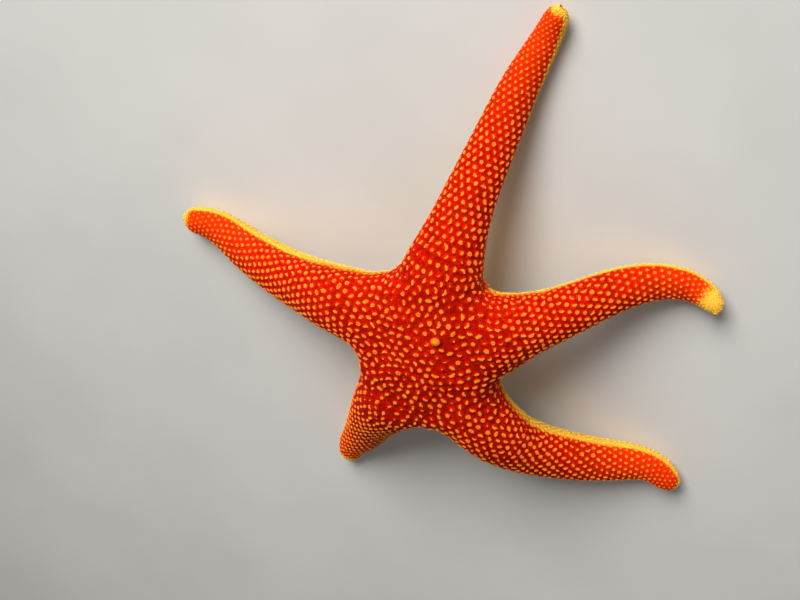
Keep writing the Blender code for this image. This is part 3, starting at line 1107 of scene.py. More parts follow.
@dataclass
class TuftField:
    """Lays out the roots in rows along the arms, and evens them where the rows meet on the disc.

    Attributes:
        skin: The skin.
        disc_spacing: How far apart the tufts are on the disc.
        stations: Shares of an arm's length.
        spacings: How far apart the tufts are along the arm at each.
        base_sparse: How much further apart they stand at each arm's base.
        end_sparse: The same over its outer length.
        disc_sparse: How much further apart they stand on the disc behind its middle.
        margin_gain: How much closer the roots of a ring stand on the flanks than on the back.
        flank_gain: How much closer all the tufts stand on the flanks.
        crotch_gain: How much closer still in the notches of the disc's front half.
        pale_gain: How much closer they stand in the pale margin.
        under_loss: How much of that is lost on the underside.
        jitter: How far a root strays along its ring, as a share of a column.
        bare: How far from any root the skin counts as bare, as a share of the spacing.
        turns: How many times the roots are pushed apart.
        push: How far each push goes, as a share of the spacing.
        reach: How far apart they are pushed, as a share of it.
        least: The least gap between two roots that stay, as a share of it.
        seed: The start of the random draws.
    """

    skin: StarSkin
    disc_spacing: float = 1.50 * MM
    stations: Numbers = (0.0, 0.3, 0.6, 0.85, 1.0)
    spacings: Numbers = (1.46 * MM, 1.41 * MM, 1.28 * MM, 1.02 * MM, 0.76 * MM)
    base_sparse: Numbers = (1.0, 0.93, 1.07, 1.10, 1.06)
    end_sparse: Numbers = (0.99, 1.07, 1.17, 1.30, 1.15)
    disc_sparse: float = 1.09
    margin_gain: float = 0.25
    flank_gain: float = 0.12
    crotch_gain: float = 0.20
    pale_gain: float = 0.42
    under_loss: float = 0.24
    jitter: float = 0.07
    bare: float = 0.82
    turns: int = 10
    push: float = 0.35
    reach: float = 1.08
    least: float = 0.52
    seed: int = 7

    def __post_init__(self) -> None:
        """Prepares the search over the skin and the random draws."""
        self.tree = self.skin.tree()
        self.rng = np.random.default_rng(self.seed)

    def spacing_along(self, arm: Array, share: Array) -> Array:
        """How far apart the tufts stand on an arm's back.

        Args:
            arm: The arms' numbers.
            share: The shares of the arms' lengths.

        Returns:
            The distances.
        """
        outer = ease(0.1, 0.6, share)
        sparse = np.array(self.base_sparse)[arm] * (1.0 - outer) + np.array(self.end_sparse)[arm] * outer
        return sparse * np.interp(share, self.stations, self.spacings)

    def spacing_at(self, zones: SkinZones, ahead: Array) -> Array:
        """How far apart the tufts stand at points of the skin.

        Args:
            zones: The points' zones.
            ahead: How far the points are from the star's middle, toward arm 1.

        Returns:
            The distances.
        """
        along = self.spacing_along(zones.arm, zones.share)
        behind = 1.0 - ease(-6.0 * MM, 2.0 * MM, ahead)
        disc = self.disc_spacing * (1.0 + (self.disc_sparse - 1.0) * behind)
        along = np.where(zones.arm < 0, disc, along)
        flank = 1.0 - ease(0.0, 0.55, np.abs(zones.lift))
        crotch = (1.0 - ease(0.15, 0.45, zones.share)) * (1.0 - behind)
        below = 1.0 - ease(-0.7, -0.1, zones.lift)
        along *= 1.0 - (self.flank_gain + self.crotch_gain * crotch) * flank
        return along * (1.0 - (self.pale_gain - self.under_loss * below) * zones.pale)

    def ring(self, arm: ArmLine, index: int, odd: bool, spacing: float) -> Array:
        """The roots of one ring round an arm.

        Args:
            arm: The arm's line.
            index: Which point of the line the ring is at.
            odd: Whether the ring is shifted by half a column.
            spacing: How far apart its roots are on the arm's back.

        Returns:
            The places on the skin.
        """
        turns = np.linspace(-0.5 * math.pi, 1.5 * math.pi, 73)
        ways = np.outer(np.cos(turns), -arm.lefts[index]) + np.outer(np.sin(turns), arm.ups[index])
        middle = Vector(arm.middles[index])
        places = []
        for way in ways:
            hit = self.tree.ray_cast(middle, Vector(way))[0]
            places.append(middle if hit is None else hit)
        places = np.array(places)
        steps = np.linalg.norm(np.diff(places, axis=0), axis=1)
        middle_turns = (turns[:-1] + turns[1:]) / 2.0
        flank = np.exp(-((np.abs(np.cos(middle_turns)) - 1.0) / 0.25) ** 2)
        weight = np.concatenate(((0.0,), np.cumsum(steps * (1.0 + self.margin_gain * flank))))
        columns = 2 * round(weight[-1] / (2.0 * spacing))
        jitter = self.rng.normal(0.0, self.jitter, columns)
        wanted = (np.arange(columns) + (0.75 if odd else 0.25) + jitter) / columns * weight[-1]
        return np.stack([np.interp(wanted, weight, column) for column in places.T], axis=1)

    def arm_rows(self, number: int, arm: ArmLine) -> Array:
        """All the ring roots of one arm.

        Args:
            number: The arm's number, from 0.
            arm: The arm's line.

        Returns:
            The places on the skin.
        """
        rings = []
        reach = 0.5 * self.spacings[0]
        odd = False
        while reach < arm.length:
            index = int(round(reach / arm.step))
            spacing = float(self.spacing_along(np.array(number), np.array(reach / arm.length)))
            rings.append(self.ring(arm, index, odd, spacing))
            reach += math.sqrt(0.75) * spacing
            odd = not odd
        return np.concatenate(rings)

    def spread(self, roots: TuftRoots) -> TuftRoots:
        """Pushes the roots apart over the skin until they are even.

        Args:
            roots: The roots.

        Returns:
            The evened roots.
        """
        points, normals, spacing = roots.points, roots.normals, roots.spacing
        for _ in range(self.turns):
            tree = tree_of(points)
            near = np.array([[entry[1] for entry in tree.find_n(point, 7)] for point in points])[:, 1:]
            offset = points[:, None] - points[near]
            distance = np.linalg.norm(offset, axis=2)
            wanted = self.reach * (spacing[:, None] + spacing[near]) / 2.0
            push = np.clip(1.0 - distance / wanted, 0.0, 1.0)
            same_side = np.einsum("ij,ikj->ik", normals, normals[near]) > 0.2
            ways = offset / np.maximum(distance, 1e-9)[..., None]
            move = (ways * (push * same_side)[..., None]).sum(axis=1)
            moved = points + self.push * spacing[:, None] * move
            hits = [self.tree.find_nearest(Vector(point)) for point in moved]
            points = np.array([hit[0] for hit in hits])
            normals = np.array([hit[1] for hit in hits])
        return TuftRoots(points, normals, spacing)

    def thinned(self, roots: TuftRoots) -> TuftRoots:
        """Drops the roots that stand too close to another."""
        tree = tree_of(roots.points)
        keep = np.ones(len(roots.points), bool)
        for index, point in enumerate(roots.points):
            if keep[index]:
                for _, other, _ in tree.find_range(point, self.least * roots.spacing[index]):
                    if other > index:
                        keep[other] = False
        return chosen(roots, keep)

    def filled(self, roots: Array, spacing: Array) -> TuftRoots:
        """Adds roots wherever the skin is still bare.

        Args:
            roots: The places so far.
            spacing: How far apart the tufts stand at the skin's points.

        Returns:
            The roots, with the new ones.
        """
        skin = self.skin
        cell = 1.5 * MM
        found: dict[tuple[int, ...], list[Array]] = {}
        for place in roots:
            found.setdefault(tuple((place // cell).astype(int)), []).append(place)
        added = []
        steps = list(product((-1, 0, 1), repeat=3))
        for index in self.rng.permutation(len(skin.points))[::2]:
            place = skin.points[index]
            key = tuple((place // cell).astype(int))
            cells = [tuple(map(sum, zip(key, step))) for step in steps]
            close = [other for near in cells for other in found.get(near, ())]
            gaps = np.sum((np.array(close) - place) ** 2, axis=1) if close else np.ones(1)
            if np.min(gaps) >= (self.bare * spacing[index]) ** 2:
                found.setdefault(key, []).append(place)
                added.append(place)
        everything = np.concatenate((roots, np.array(added).reshape(-1, 3)))
        tree = tree_of(skin.points)
        index = np.array([tree.find(place)[1] for place in everything])
        LOG.info("tufts: %d in rows, %d between", len(roots), len(added))
        return TuftRoots(everything, skin.normals()[index], spacing[index])

    def lay(self, plan: StarPlan, zones: SkinZones) -> TuftRoots:
        """Lays out all the roots.

        Args:
            plan: The star's plan.
            zones: The zones of the skin's points.

        Returns:
            The roots.
        """
        rings = [self.arm_rows(number, arm) for number, arm in enumerate(plan.arms)]
        spacing = self.spacing_at(zones, self.skin.points[:, 1] - plan.centre[1])
        return self.thinned(self.spread(self.filled(np.concatenate(rings), spacing)))


class SpotForm(Enum):
    """The outline of a tuft: its length, its width and how much it bends, against a round one."""

    ROUND = (1.05, 1.0, 0.0)
    OVAL = (1.25, 0.74, 0.05)
    COMMA = (1.30, 0.66, 0.35)
    CRESCENT = (1.45, 0.58, 0.55)
    DASH = (1.60, 0.50, 0.15)


@dataclass(frozen=True)
class TuftPattern:
    """A tuft on a unit disc: a low cushion, and spinelets that lean out from its middle.

    Attributes:
        spinelets: How many spinelets it has.
        cushion_sides: How many sides the cushion has.
        sides: How many sides a spinelet has.
        lean: How far a spinelet's tip stands out beyond its root, as a share of its place.
        cushion_rings: The radius and height of the cushion's two rings.
    """

    spinelets: int
    cushion_sides: int
    sides: int = 5
    lean: float = 0.32
    cushion_rings: Profile = ((1.12, -0.6), (0.92, 0.7))

    def plan(self) -> Array:
        """The spinelets' places on the unit disc."""
        number = np.arange(self.spinelets)
        radius = 0.84 * np.sqrt((number + 0.6) / self.spinelets)
        turn = number * GOLDEN_TURN
        return np.stack((radius * np.cos(turn), radius * np.sin(turn)), axis=1)

    def arrays(self) -> tuple[Array, Array, Array, Array, Array]:
        """The tuft as arrays.

        Returns:
            The place of each point on the unit disc, its offset from the spinelet's axis in spinelet
            widths, its height on the cushion, its height on the spinelet and the triangles.
        """
        count, sides = self.cushion_sides, self.sides
        places = [radius * circle(count) for radius, _ in self.cushion_rings] + [np.zeros((1, 2))]
        low = [np.full(count, height) for _, height in self.cushion_rings] + [np.ones(1)]
        faces = [ring_faces(2, count)]
        start = 2 * count + 1
        offsets, high = [np.zeros((start, 2))], [np.zeros(start)]
        ring = circle(sides)
        for place in self.plan():
            for lean, width, height in ((0.0, 1.0, 0.0), (0.8 * self.lean, 0.95, 0.8)):
                places.append(np.tile(place * (1.0 + lean), (sides, 1)))
                offsets.append(ring * width)
                high.append(np.full(sides, height))
            places.append((place * (1.0 + self.lean))[None])
            offsets.append(np.zeros((1, 2)))
            high.append(np.ones(1))
            low.append(np.full(2 * sides + 1, 0.3))
            faces.append(ring_faces(2, sides) + start)
            start += 2 * sides + 1
        return tuple(map(np.concatenate, (places, offsets, low, high, faces)))


@dataclass
class SpineCoat:
    """The tufts of spinelets over the whole skin, one piece for each arm and one for the disc.

    Attributes:
        spot_share: A tuft's half width as a share of the tufts' spacing.
        cushion: How high a tuft's cushion stands over the mound.
        spinelet_height: How high its spinelets stand.
        spinelet_width: Their half width.
        full_size: The half width of a tuft with spinelets of full size.
        patterns: The tuft's pattern for each least half width, largest first.
        single_share: How many of the disc's tufts are single small spinelets.
        hollow_shares: How many tufts have a darker middle on the arms, and how many more on the disc.
        pale_gain: How much wider a tuft is in the pale margin.
        end_loss: How much narrower toward an arm's end.
        flank_loss: How much narrower on a steep flank.
        flank_drop: How much lower it stands there.
        longest: The longest half length of a tuft, as a share of the tufts' spacing.
        seed: The start of the random draws.
    """

    spot_share: float = 0.235
    cushion: float = 0.07 * MM
    spinelet_height: float = 0.19 * MM
    spinelet_width: float = 0.066 * MM
    full_size: float = 0.36 * MM
    patterns: tuple[tuple[float, TuftPattern], ...] = (
        (0.30 * MM, TuftPattern(14, 12)),
        (0.23 * MM, TuftPattern(11, 10)),
        (0.0, TuftPattern(7, 8)),
    )
    single_share: float = 0.13
    hollow_shares: tuple[float, float] = (0.15, 0.35)
    pale_gain: float = 0.30
    end_loss: float = 0.14
    flank_loss: float = 0.12
    flank_drop: float = 0.5
    longest: float = 0.42
    seed: int = 11

    def forms(self, share: Array, rng: Draws) -> Array:
        """Draws an outline for each tuft.

        Args:
            share: How far along its arm each is, with 0 on the disc.
            rng: The random draws.

        Returns:
            Length, width and bend in each row.
        """
        kinds = np.array([form.value for form in SpotForm])
        disc = np.array((0.25, 0.38, 0.26, 0.09, 0.02))
        arm = np.array((0.34, 0.38, 0.21, 0.07, 0.0))
        end = np.array((0.80, 0.20, 0.0, 0.0, 0.0))
        draw = rng.random(len(share))
        share = share[:, None]
        to_arm, to_end = ease(0.0, 0.25, share), ease(0.35, 0.85, share)
        chances = (1 - to_arm) * disc + to_arm * (1 - to_end) * arm + to_end * end
        index = (draw[:, None] > np.cumsum(chances, axis=1)).sum(axis=1).clip(0, len(kinds) - 1)
        return kinds[index]

    def batch(self, parts: MeshParts, pattern: TuftPattern, roots: TuftRoots, shape: Array, radius: Array,
              stand: Array, values: dict[str, Array], ahead: Array, places: Array, rng: Draws) -> None:
        """Adds all the tufts of one pattern.

        Args:
            parts: Their piece.
            pattern: Their pattern.
            roots: Their roots, already lifted onto the mounds.
            shape: Their length, width and bend.
            radius: Their half widths.
            stand: How high each stands, as a share of a full one.
            values: The marks of each tuft.
            ahead: The direction that the long ones lie along.
            places: Their places on the unwrap.
            rng: The random draws.
        """
        plan, offset, low, high, faces = pattern.arrays()
        count, size = len(roots.points), len(plan)
        first, second = frames_on(roots.normals, rng.normal(0.0, 0.55, count), ahead)
        jitter = 1.0 + 0.10 * rng.standard_normal((count, size))
        x = radius[:, None] * shape[:, 0:1] * plan[:, 0]
        y = radius[:, None] * shape[:, 1:2] * plan[:, 1]
        y = y + radius[:, None] * shape[:, 2:3] * (plan[:, 0] ** 2 - 0.4) * 1.2
        grown = (radius / self.full_size)[:, None]
        width = self.spinelet_width * (0.55 + 0.45 * grown)
        x = x + width * offset[:, 0]
        y = y + width * offset[:, 1]
        tall = self.spinelet_height * (0.45 + 0.55 * grown).clip(0.4, 1.0)
        domed = 1.0 - 0.22 * (plan**2).sum(axis=1)
        z = self.cushion * low + tall * high * domed * jitter
        z = np.where(z > 0.0, stand[:, None] * z, z)
        points = roots.points[:, None] + x[..., None] * first[:, None] + y[..., None] * second[:, None]
        points = points + z[..., None] * roots.normals[:, None]
        patch = plan / np.abs(plan).max() * PATCH_WIDTH / 2.0
        marks = {name: np.repeat(value, size) for name, value in values.items()}
        middle = 1.0 - ease(0.15, 0.6, np.linalg.norm(plan, axis=1))
        rise = np.where(high > 0.0, 0.35 + 0.65 * high, 0.30 * (low > 0.0))
        marks["rise"] = (rise * (1.0 - 0.9 * middle * values["hollow"][:, None])).ravel()
        parts.add_copies(points, faces, places, patch, **marks)

    def build(self, name: str, roots: TuftRoots, zones: SkinZones, places: Array,
              material: Material) -> Piece:
        """Builds one piece of the coat.

        Args:
            name: The piece's name.
            roots: Its roots.
            zones: Their zones.
            places: Their places on the unwrap.
            material: Its finish.

        Returns:
            The piece.
        """
        rng = np.random.default_rng(self.seed + len(roots.points))
        count = len(roots.points)
        share = np.where(zones.arm < 0, 0.0, zones.share)
        shape = self.forms(share, rng)
        red = 1.0 - zones.pale
        on_disc = 1.0 - ease(0.0, 0.3, share)
        size = rng.normal(1.0, 0.10 + 0.05 * on_disc, count).clip(0.62, 1.35)
        tint = rng.beta(1.4, 3.0, count)
        single = rng.random(count) < self.single_share * on_disc * red
        size = np.where(single, 0.50 * size, size)
        tint = np.where(single, 1.2, tint) + 1.1 * ease(0.72, 1.0, share)
        # Painted shade: tufts low on the flanks get more tint, so they show a darker apricot.
        tint = (tint + 0.6 * (1.0 - ease(0.0, 0.6, zones.lift))) * red
        on_arm, more = self.hollow_shares
        hollow = rng.random(count) * (rng.random(count) < on_arm + more * on_disc) * red
        radius = self.spot_share * roots.spacing * size * (1.0 + self.pale_gain * zones.pale)
        radius *= 1.0 - self.end_loss * ease(0.3, 0.8, share) * red
        flank = (1.0 - ease(0.0, 0.6, np.abs(zones.lift))) * red
        radius *= 1.0 - self.flank_loss * flank
        stand = 1.0 - self.flank_drop * flank
        shape[:, 0] = np.minimum(shape[:, 0], self.longest * roots.spacing / radius)
        parts = MeshParts()
        above = np.inf
        for least, pattern in self.patterns:
            keep = (radius >= least) & (radius < above)
            above = least
            if keep.any():
                values = {"pale": zones.pale[keep], "tint": tint[keep], "hollow": hollow[keep]}
                rows = (shape[keep], radius[keep], stand[keep], values, zones.ahead[keep], places[keep])
                self.batch(parts, pattern, chosen(roots, keep), *rows, rng)
        piece = parts.build(name, material)
        keep_off_floor(piece)
        return piece


def keep_off_floor(piece: Piece) -> None:
    """Flattens what would reach under the floor.

    Args:
        piece: The piece.
    """
    mesh = piece.data
    places = read_all(mesh.vertices, "co", 3)
    places[:, 2] = np.maximum(places[:, 2], FLOOR_GAP)
    mesh.vertices.foreach_set("co", places.ravel())
    mesh.update()


# The underside and the small separate parts


@dataclass(frozen=True)
class TurnedPattern:
    """A shape turned about an axis, such as a spine or a tube foot.

    Attributes:
        profile: Height and radius of each ring, as shares of its length and width. The last is its tip.
        sides: How many sides it has.
    """

    profile: Profile
    sides: int

    def arrays(self) -> tuple[Array, Array, Array]:
        """The shape as arrays.

        Returns:
            The height of each point, its offset from the axis and the triangles.
        """
        *rings, (tip, _) = self.profile
        sides = self.sides
        heights = np.append(np.repeat([height for height, _ in rings], sides), tip)
        offsets = np.concatenate([circle(sides) * radius for _, radius in rings] + [np.zeros((1, 2))])
        return heights, offsets, ring_faces(len(rings), sides)

    def add(self, parts: MeshParts, roots: Array, ways: Array, lengths: Array, widths: Array,
            places: Array, bends: Array | None = None, **marks: Array) -> None:
        """Adds one of these shapes at each root.

        Args:
            parts: Their piece.
            roots: Where they stand.
            ways: Their directions.
            lengths: Their lengths.
            widths: Their half widths.
            places: Their places on the unwrap.
            bends: How far their tips are pushed aside, if at all.
            marks: Values of other marks, one for each root.
        """
        heights, offsets, faces = self.arrays()
        count, size = len(roots), len(heights)
        first, second = frames_on(ways, np.zeros(count))
        across = offsets * widths[:, None, None]
        points = roots[:, None] + ways[:, None] * (heights * lengths[:, None])[..., None]
        points = points + across[..., :1] * first[:, None] + across[..., 1:] * second[:, None]
        if bends is not None:
            points = points + bends[:, None] * (heights**2)[:, None]
        patch = unit(offsets + 1e-9) * (1.0 - 0.9 * heights[:, None]) * PATCH_WIDTH / 2.0
        spread = {name: np.repeat(value, size) for name, value in marks.items()}
        parts.add_copies(points, faces, places, patch, rise=np.tile(heights, count), **spread)


@dataclass
class GrooveLine:
    """The groove under one arm, from the mouth to the arm's end.

    Attributes:
        arm: The arm's line.
        centre: The star's centre.
        start: How far from the centre the groove starts.
        full_width: Half the arm's width where the steps are of full length.
    """

    arm: ArmLine
    centre: Array
    start: float = 3.1 * MM
    full_width: float = 6.5 * MM

    def __post_init__(self) -> None:
        """Adds the stretch under the disc to the arm's own line."""
        arm = self.arm
        flat = (arm.middles[0] - self.centre) * LEVEL
        reach = float(np.linalg.norm(flat))
        distances = np.arange(self.start, reach, arm.step)
        ahead = flat / reach
        inner = self.centre + np.outer(distances, ahead) + arm.middles[0][2] * UP
        level = {"aheads": ahead, "lefts": np.cross(UP, ahead), "ups": UP, "half_widths": arm.half_widths[2]}
        self.middles = np.concatenate((inner, arm.middles))
        for part, value in level.items():
            setattr(self, part, np.concatenate(([value] * len(inner), getattr(arm, part))))

    def stations(self, pitch: float, least_share: float, stop_short: float) -> list[int]:
        """Even steps along the groove, closer together where the arm is thin.

        Args:
            pitch: The step at the arm's base.
            least_share: The share of it that is left on the thinnest arm.
            stop_short: How far before the end the steps stop.

        Returns:
            The points of the line that they fall on.
        """
        found = []
        reach = 0.0
        last = (len(self.middles) - 1) * self.arm.step - stop_short
        while reach < last:
            index = int(round(reach / self.arm.step))
            found.append(index)
            share = min(self.half_widths[index] / self.full_width, 1.0)
            reach += pitch * (least_share + (1.0 - least_share) * share)
        return found

    def drop(self, skin: BVHTree, index: int, aside: float) -> tuple[Array, Array] | None:
        """The underside beside the line.

        Args:
            skin: The skin.
            index: Which point of the line.
            aside: How far to the left of it, as a share of the half width.

        Returns:
            The place and the normal there, or nothing where the skin isn't met.
        """
        start = self.middles[index] + self.lefts[index] * aside * self.half_widths[index]
        place, normal, _, _ = skin.ray_cast(Vector(start), Vector(-self.ups[index]))
        return None if place is None else (np.array(place), np.array(normal))


@dataclass
class SkinPart:
    """A piece that is set on the skin.

    Attributes:
        plan: The star's plan.
        skin: A search tree over the skin.
    """

    plan: StarPlan
    skin: BVHTree

    def places(self, points: Array, normals: Array) -> Array:
        """The places of points of the skin on its unwrap."""
        return self.plan.map_places(points, self.plan.zones(points, normals))


@dataclass
class GrooveFringe(SkinPart):
    """The fans of spines on both lips of a groove, which close over it.

    Attributes:
        pitch: How far apart the fans are at the arm's base.
        lip: How far from the groove's middle they stand, as a share of the half width.
        length: How long the spines are at the base.
        width: Their half width.
        full_width: Half the arm's width where the spines are of full length.
        fan: How far each spine of a fan leans along the arm.
        pattern: A spine's shape.
    """

    pitch: float = 0.80 * MM
    lip: float = 0.27
    length: float = 0.95 * MM
    width: float = 0.085 * MM
    full_width: float = 6.0 * MM
    fan: Numbers = (-0.48, -0.17, 0.17, 0.48)
    pattern: TurnedPattern = TurnedPattern(((-0.12, 1.0), (0.35, 1.0), (0.80, 0.72), (1.0, 0.0)), 5)

    def add(self, parts: MeshParts, groove: GrooveLine, rng: Draws) -> None:
        """Adds the fans of one groove.

        Args:
            parts: Their piece.
            groove: The groove.
            rng: The random draws.
        """
        rows = []
        for index in groove.stations(self.pitch, 0.55, 0.5 * MM):
            size = min(groove.half_widths[index] / self.full_width, 1.0)
            for side in (-1.0, 1.0):
                found = groove.drop(self.skin, index, side * self.lip)
                if found is None:
                    continue
                place, normal = found
                inward = -side * groove.lefts[index]
                for lean in self.fan:
                    lean += rng.normal(0.0, 0.06)
                    way = unit(0.95 * inward - 0.38 * groove.ups[index] + 1.1 * lean * groove.aheads[index])
                    root = place + groove.aheads[index] * lean * 0.45 * self.pitch
                    length = self.length * (0.50 + 0.50 * size) * rng.uniform(0.85, 1.1)
                    if way[2] < 0.0:
                        length = min(length, max(root[2] - 0.1 * MM, 0.05 * MM) / -way[2])
                    rows.append((root, way, normal, length))
        roots, ways, normals, lengths = map(np.array, zip(*rows))
        widths = self.width * (0.6 + 0.4 * lengths / self.length)
        self.pattern.add(parts, roots, ways, lengths, widths, self.places(roots, normals),
                         pale=np.full(len(roots), 0.8), tint=rng.uniform(0.0, 0.35, len(roots)))


@dataclass
class TubeFeet(SkinPart):
    """Two rows of tube feet in each groove, each with a sucker.

    Attributes:
        pitch: How far apart the feet of a row are at the arm's base.
        row: How far each row is from the groove's middle, as a share of the half width.
        width: Their half width at the base.
        full_width: Half the arm's width where they are of full width.
        pattern: Their shape.
    """

    pitch: float = 1.15 * MM
    row: float = 0.085
    width: float = 0.24 * MM
    full_width: float = 6.0 * MM
    pattern: TurnedPattern = TurnedPattern(
        ((-0.10, 1.15), (0.15, 0.95), (0.45, 0.78), (0.72, 0.74), (0.84, 0.82), (0.90, 1.25), (0.97, 1.20),
         (1.0, 0.75), (0.96, 0.0)), 9)

    def add(self, parts: MeshParts, groove: GrooveLine, rng: Draws) -> None:
        """Adds the feet of one groove.

        Args:
            parts: Their piece.
            groove: The groove.
            rng: The random draws.
        """
        rows = []
        for number, index in enumerate(groove.stations(self.pitch / 2.0, 0.5, 1.2 * MM)):
            side = 1.0 if number % 2 else -1.0
            found = groove.drop(self.skin, index, side * self.row)
            lip = groove.drop(self.skin, index, side * 0.45)
            if found is None or lip is None:
                continue
            place, normal = found
            depth = abs(float((place - lip[0]) @ groove.ups[index]))
            way = unit(-groove.ups[index] + side * 0.10 * groove.lefts[index] + rng.normal(0.0, 0.10, 3))
            length = max(0.95 * depth * rng.uniform(0.85, 1.1), 0.35 * MM)
            if way[2] < 0.0:
                length = min(length, max(place[2] - 0.06 * MM, 0.05 * MM) / -way[2])
            size = min(groove.half_widths[index] / self.full_width, 1.0)
            rows.append((place, way, normal, length, self.width * (0.45 + 0.55 * size)))
        roots, ways, normals, lengths, widths = map(np.array, zip(*rows))
        bends = rng.normal(0.0, 0.10, (len(roots), 3)) * lengths[:, None]
        bends[:, 2] = 0.0
        self.pattern.add(parts, roots, ways, lengths, widths, self.places(roots, normals), bends)


@dataclass
class MouthFilm(SkinPart):
    """The thin film over the mouth, drawn in folds toward a small opening.

    Attributes:
        radius: How wide the film is where it lies level.
        skirt: How far out it runs on, up under the skin.
        opening: The radius of the hole in its middle.
        hollow: How deep the hole goes in.
        folds: How many folds it has.
        fold_height: How high they are.
        proud: How far the film stands over the level of the solid's mouth.
        rings: How many rings it has out to its radius.
        sectors: How many sides each ring has.
        patch: The width of its unwrap.
    """

    radius: float = 2.9 * MM
    skirt: float = 3.9 * MM
    opening: float = 0.55 * MM
    hollow: float = 1.6 * MM
    folds: int = 20
    fold_height: float = 0.09 * MM
    proud: float = 0.10 * MM
    rings: int = 22
    sectors: int = 160
    patch: float = 9.0 * MM

    def build(self) -> Piece:
        """Builds the film.

        Returns:
            The piece.
        """
        centre = self.plan.centre
        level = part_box("mouth")[0].z
        around = 2.0 * np.pi * np.arange(self.sectors) / self.sectors
        radii = np.concatenate((np.linspace(0.05 * MM, self.radius, self.rings), (3.3 * MM, self.skirt)))
        rim = np.zeros(self.sectors)
        for index, (across, up) in enumerate(circle(self.sectors)):
            hit = skin_above(self.skin, centre + self.skirt * np.array((across, up, 0.0)))
            rim[index] = level if hit is None else hit.z + 0.15 * MM
        rings, rises = [], []
        for radius in radii:
            share = radius / self.radius
            wave = np.cos(self.folds * around + 1.3 * math.sin(3.0 * share)) * (1.0 - share) * share * 4.0
            height = level + self.proud + self.fold_height * (1.0 + wave) * (share < 1.0)
            height = height + self.hollow * (1.0 - ease(0.4 * self.opening, 2.4 * self.opening, radius))
            height = height + (rim - height) * ease(self.radius, self.skirt, radius)
            ring = np.concatenate((radius * circle(self.sectors), height[:, None]), axis=1)
            rings.append(centre * LEVEL + ring)
            rises.append(np.full(self.sectors, 1.0 - ease(0.15, 0.75, share)))
        points = np.concatenate(rings)
        faces = ring_faces(len(radii), self.sectors, tip=False)
        parts = MeshParts()
        flat = 0.5 + (points[:, :2] - centre[:2]) / self.patch
        parts.add(points, faces, flat, rise=np.concatenate(rises))
        return parts.build("mouth_film", MouthFinish().material())


@dataclass
class JawSpines(SkinPart):
    """The fans of spines on the five jaws round the mouth.

    Attributes:
        reach: How far from the centre the jaws are.
        length: How long the spines are.
        width: Their half width.
        jaw: How wide a jaw is for each radian of the fan.
        fan: How far each spine is turned from the way to the centre, in radians.
        pattern: A spine's shape.
    """

    reach: float = 3.25 * MM
    length: float = 1.35 * MM
    width: float = 0.13 * MM
    jaw: float = 0.9 * MM
    fan: Numbers = (-0.75, -0.48, -0.22, 0.0, 0.22, 0.48, 0.75)
    pattern: TurnedPattern = TurnedPattern(
        ((-0.15, 1.0), (0.2, 1.05), (0.55, 0.92), (0.85, 0.66), (0.96, 0.38), (1.0, 0.0)), 8)

    def add(self, parts: MeshParts) -> None:
        """Adds the five fans.

        Args:
            parts: Their piece.
        """
        plan = self.plan
        headings = sorted(math.atan2(*(arm.middles[0] - plan.centre)[1::-1]) for arm in plan.arms)
        rows = []
        for first, second in zip(headings, headings[1:] + [headings[0] + 2.0 * math.pi]):
            between = (first + second) / 2.0
            out = np.array((math.cos(between), math.sin(between), 0.0))
            across = np.cross(UP, out)
            for lean in self.fan:
                hit = skin_above(self.skin, plan.centre + self.reach * out + self.jaw * lean * across)
                if hit is not None:
                    way = unit(-out * math.cos(lean) + across * math.sin(lean) + 0.04 * UP)
                    rows.append((np.array(hit) + 0.10 * MM * UP, way))
        roots, ways = map(np.array, zip(*rows))
        count = len(roots)
        lengths = self.length * (1.0 - 0.12 * np.abs(np.tile(self.fan, 5)[:count]))
        places = self.places(roots, np.tile(-UP, (count, 1)))
        self.pattern.add(parts, roots, ways, lengths, np.full(count, self.width), places,
                         pale=np.full(count, 0.9), tint=np.zeros(count))


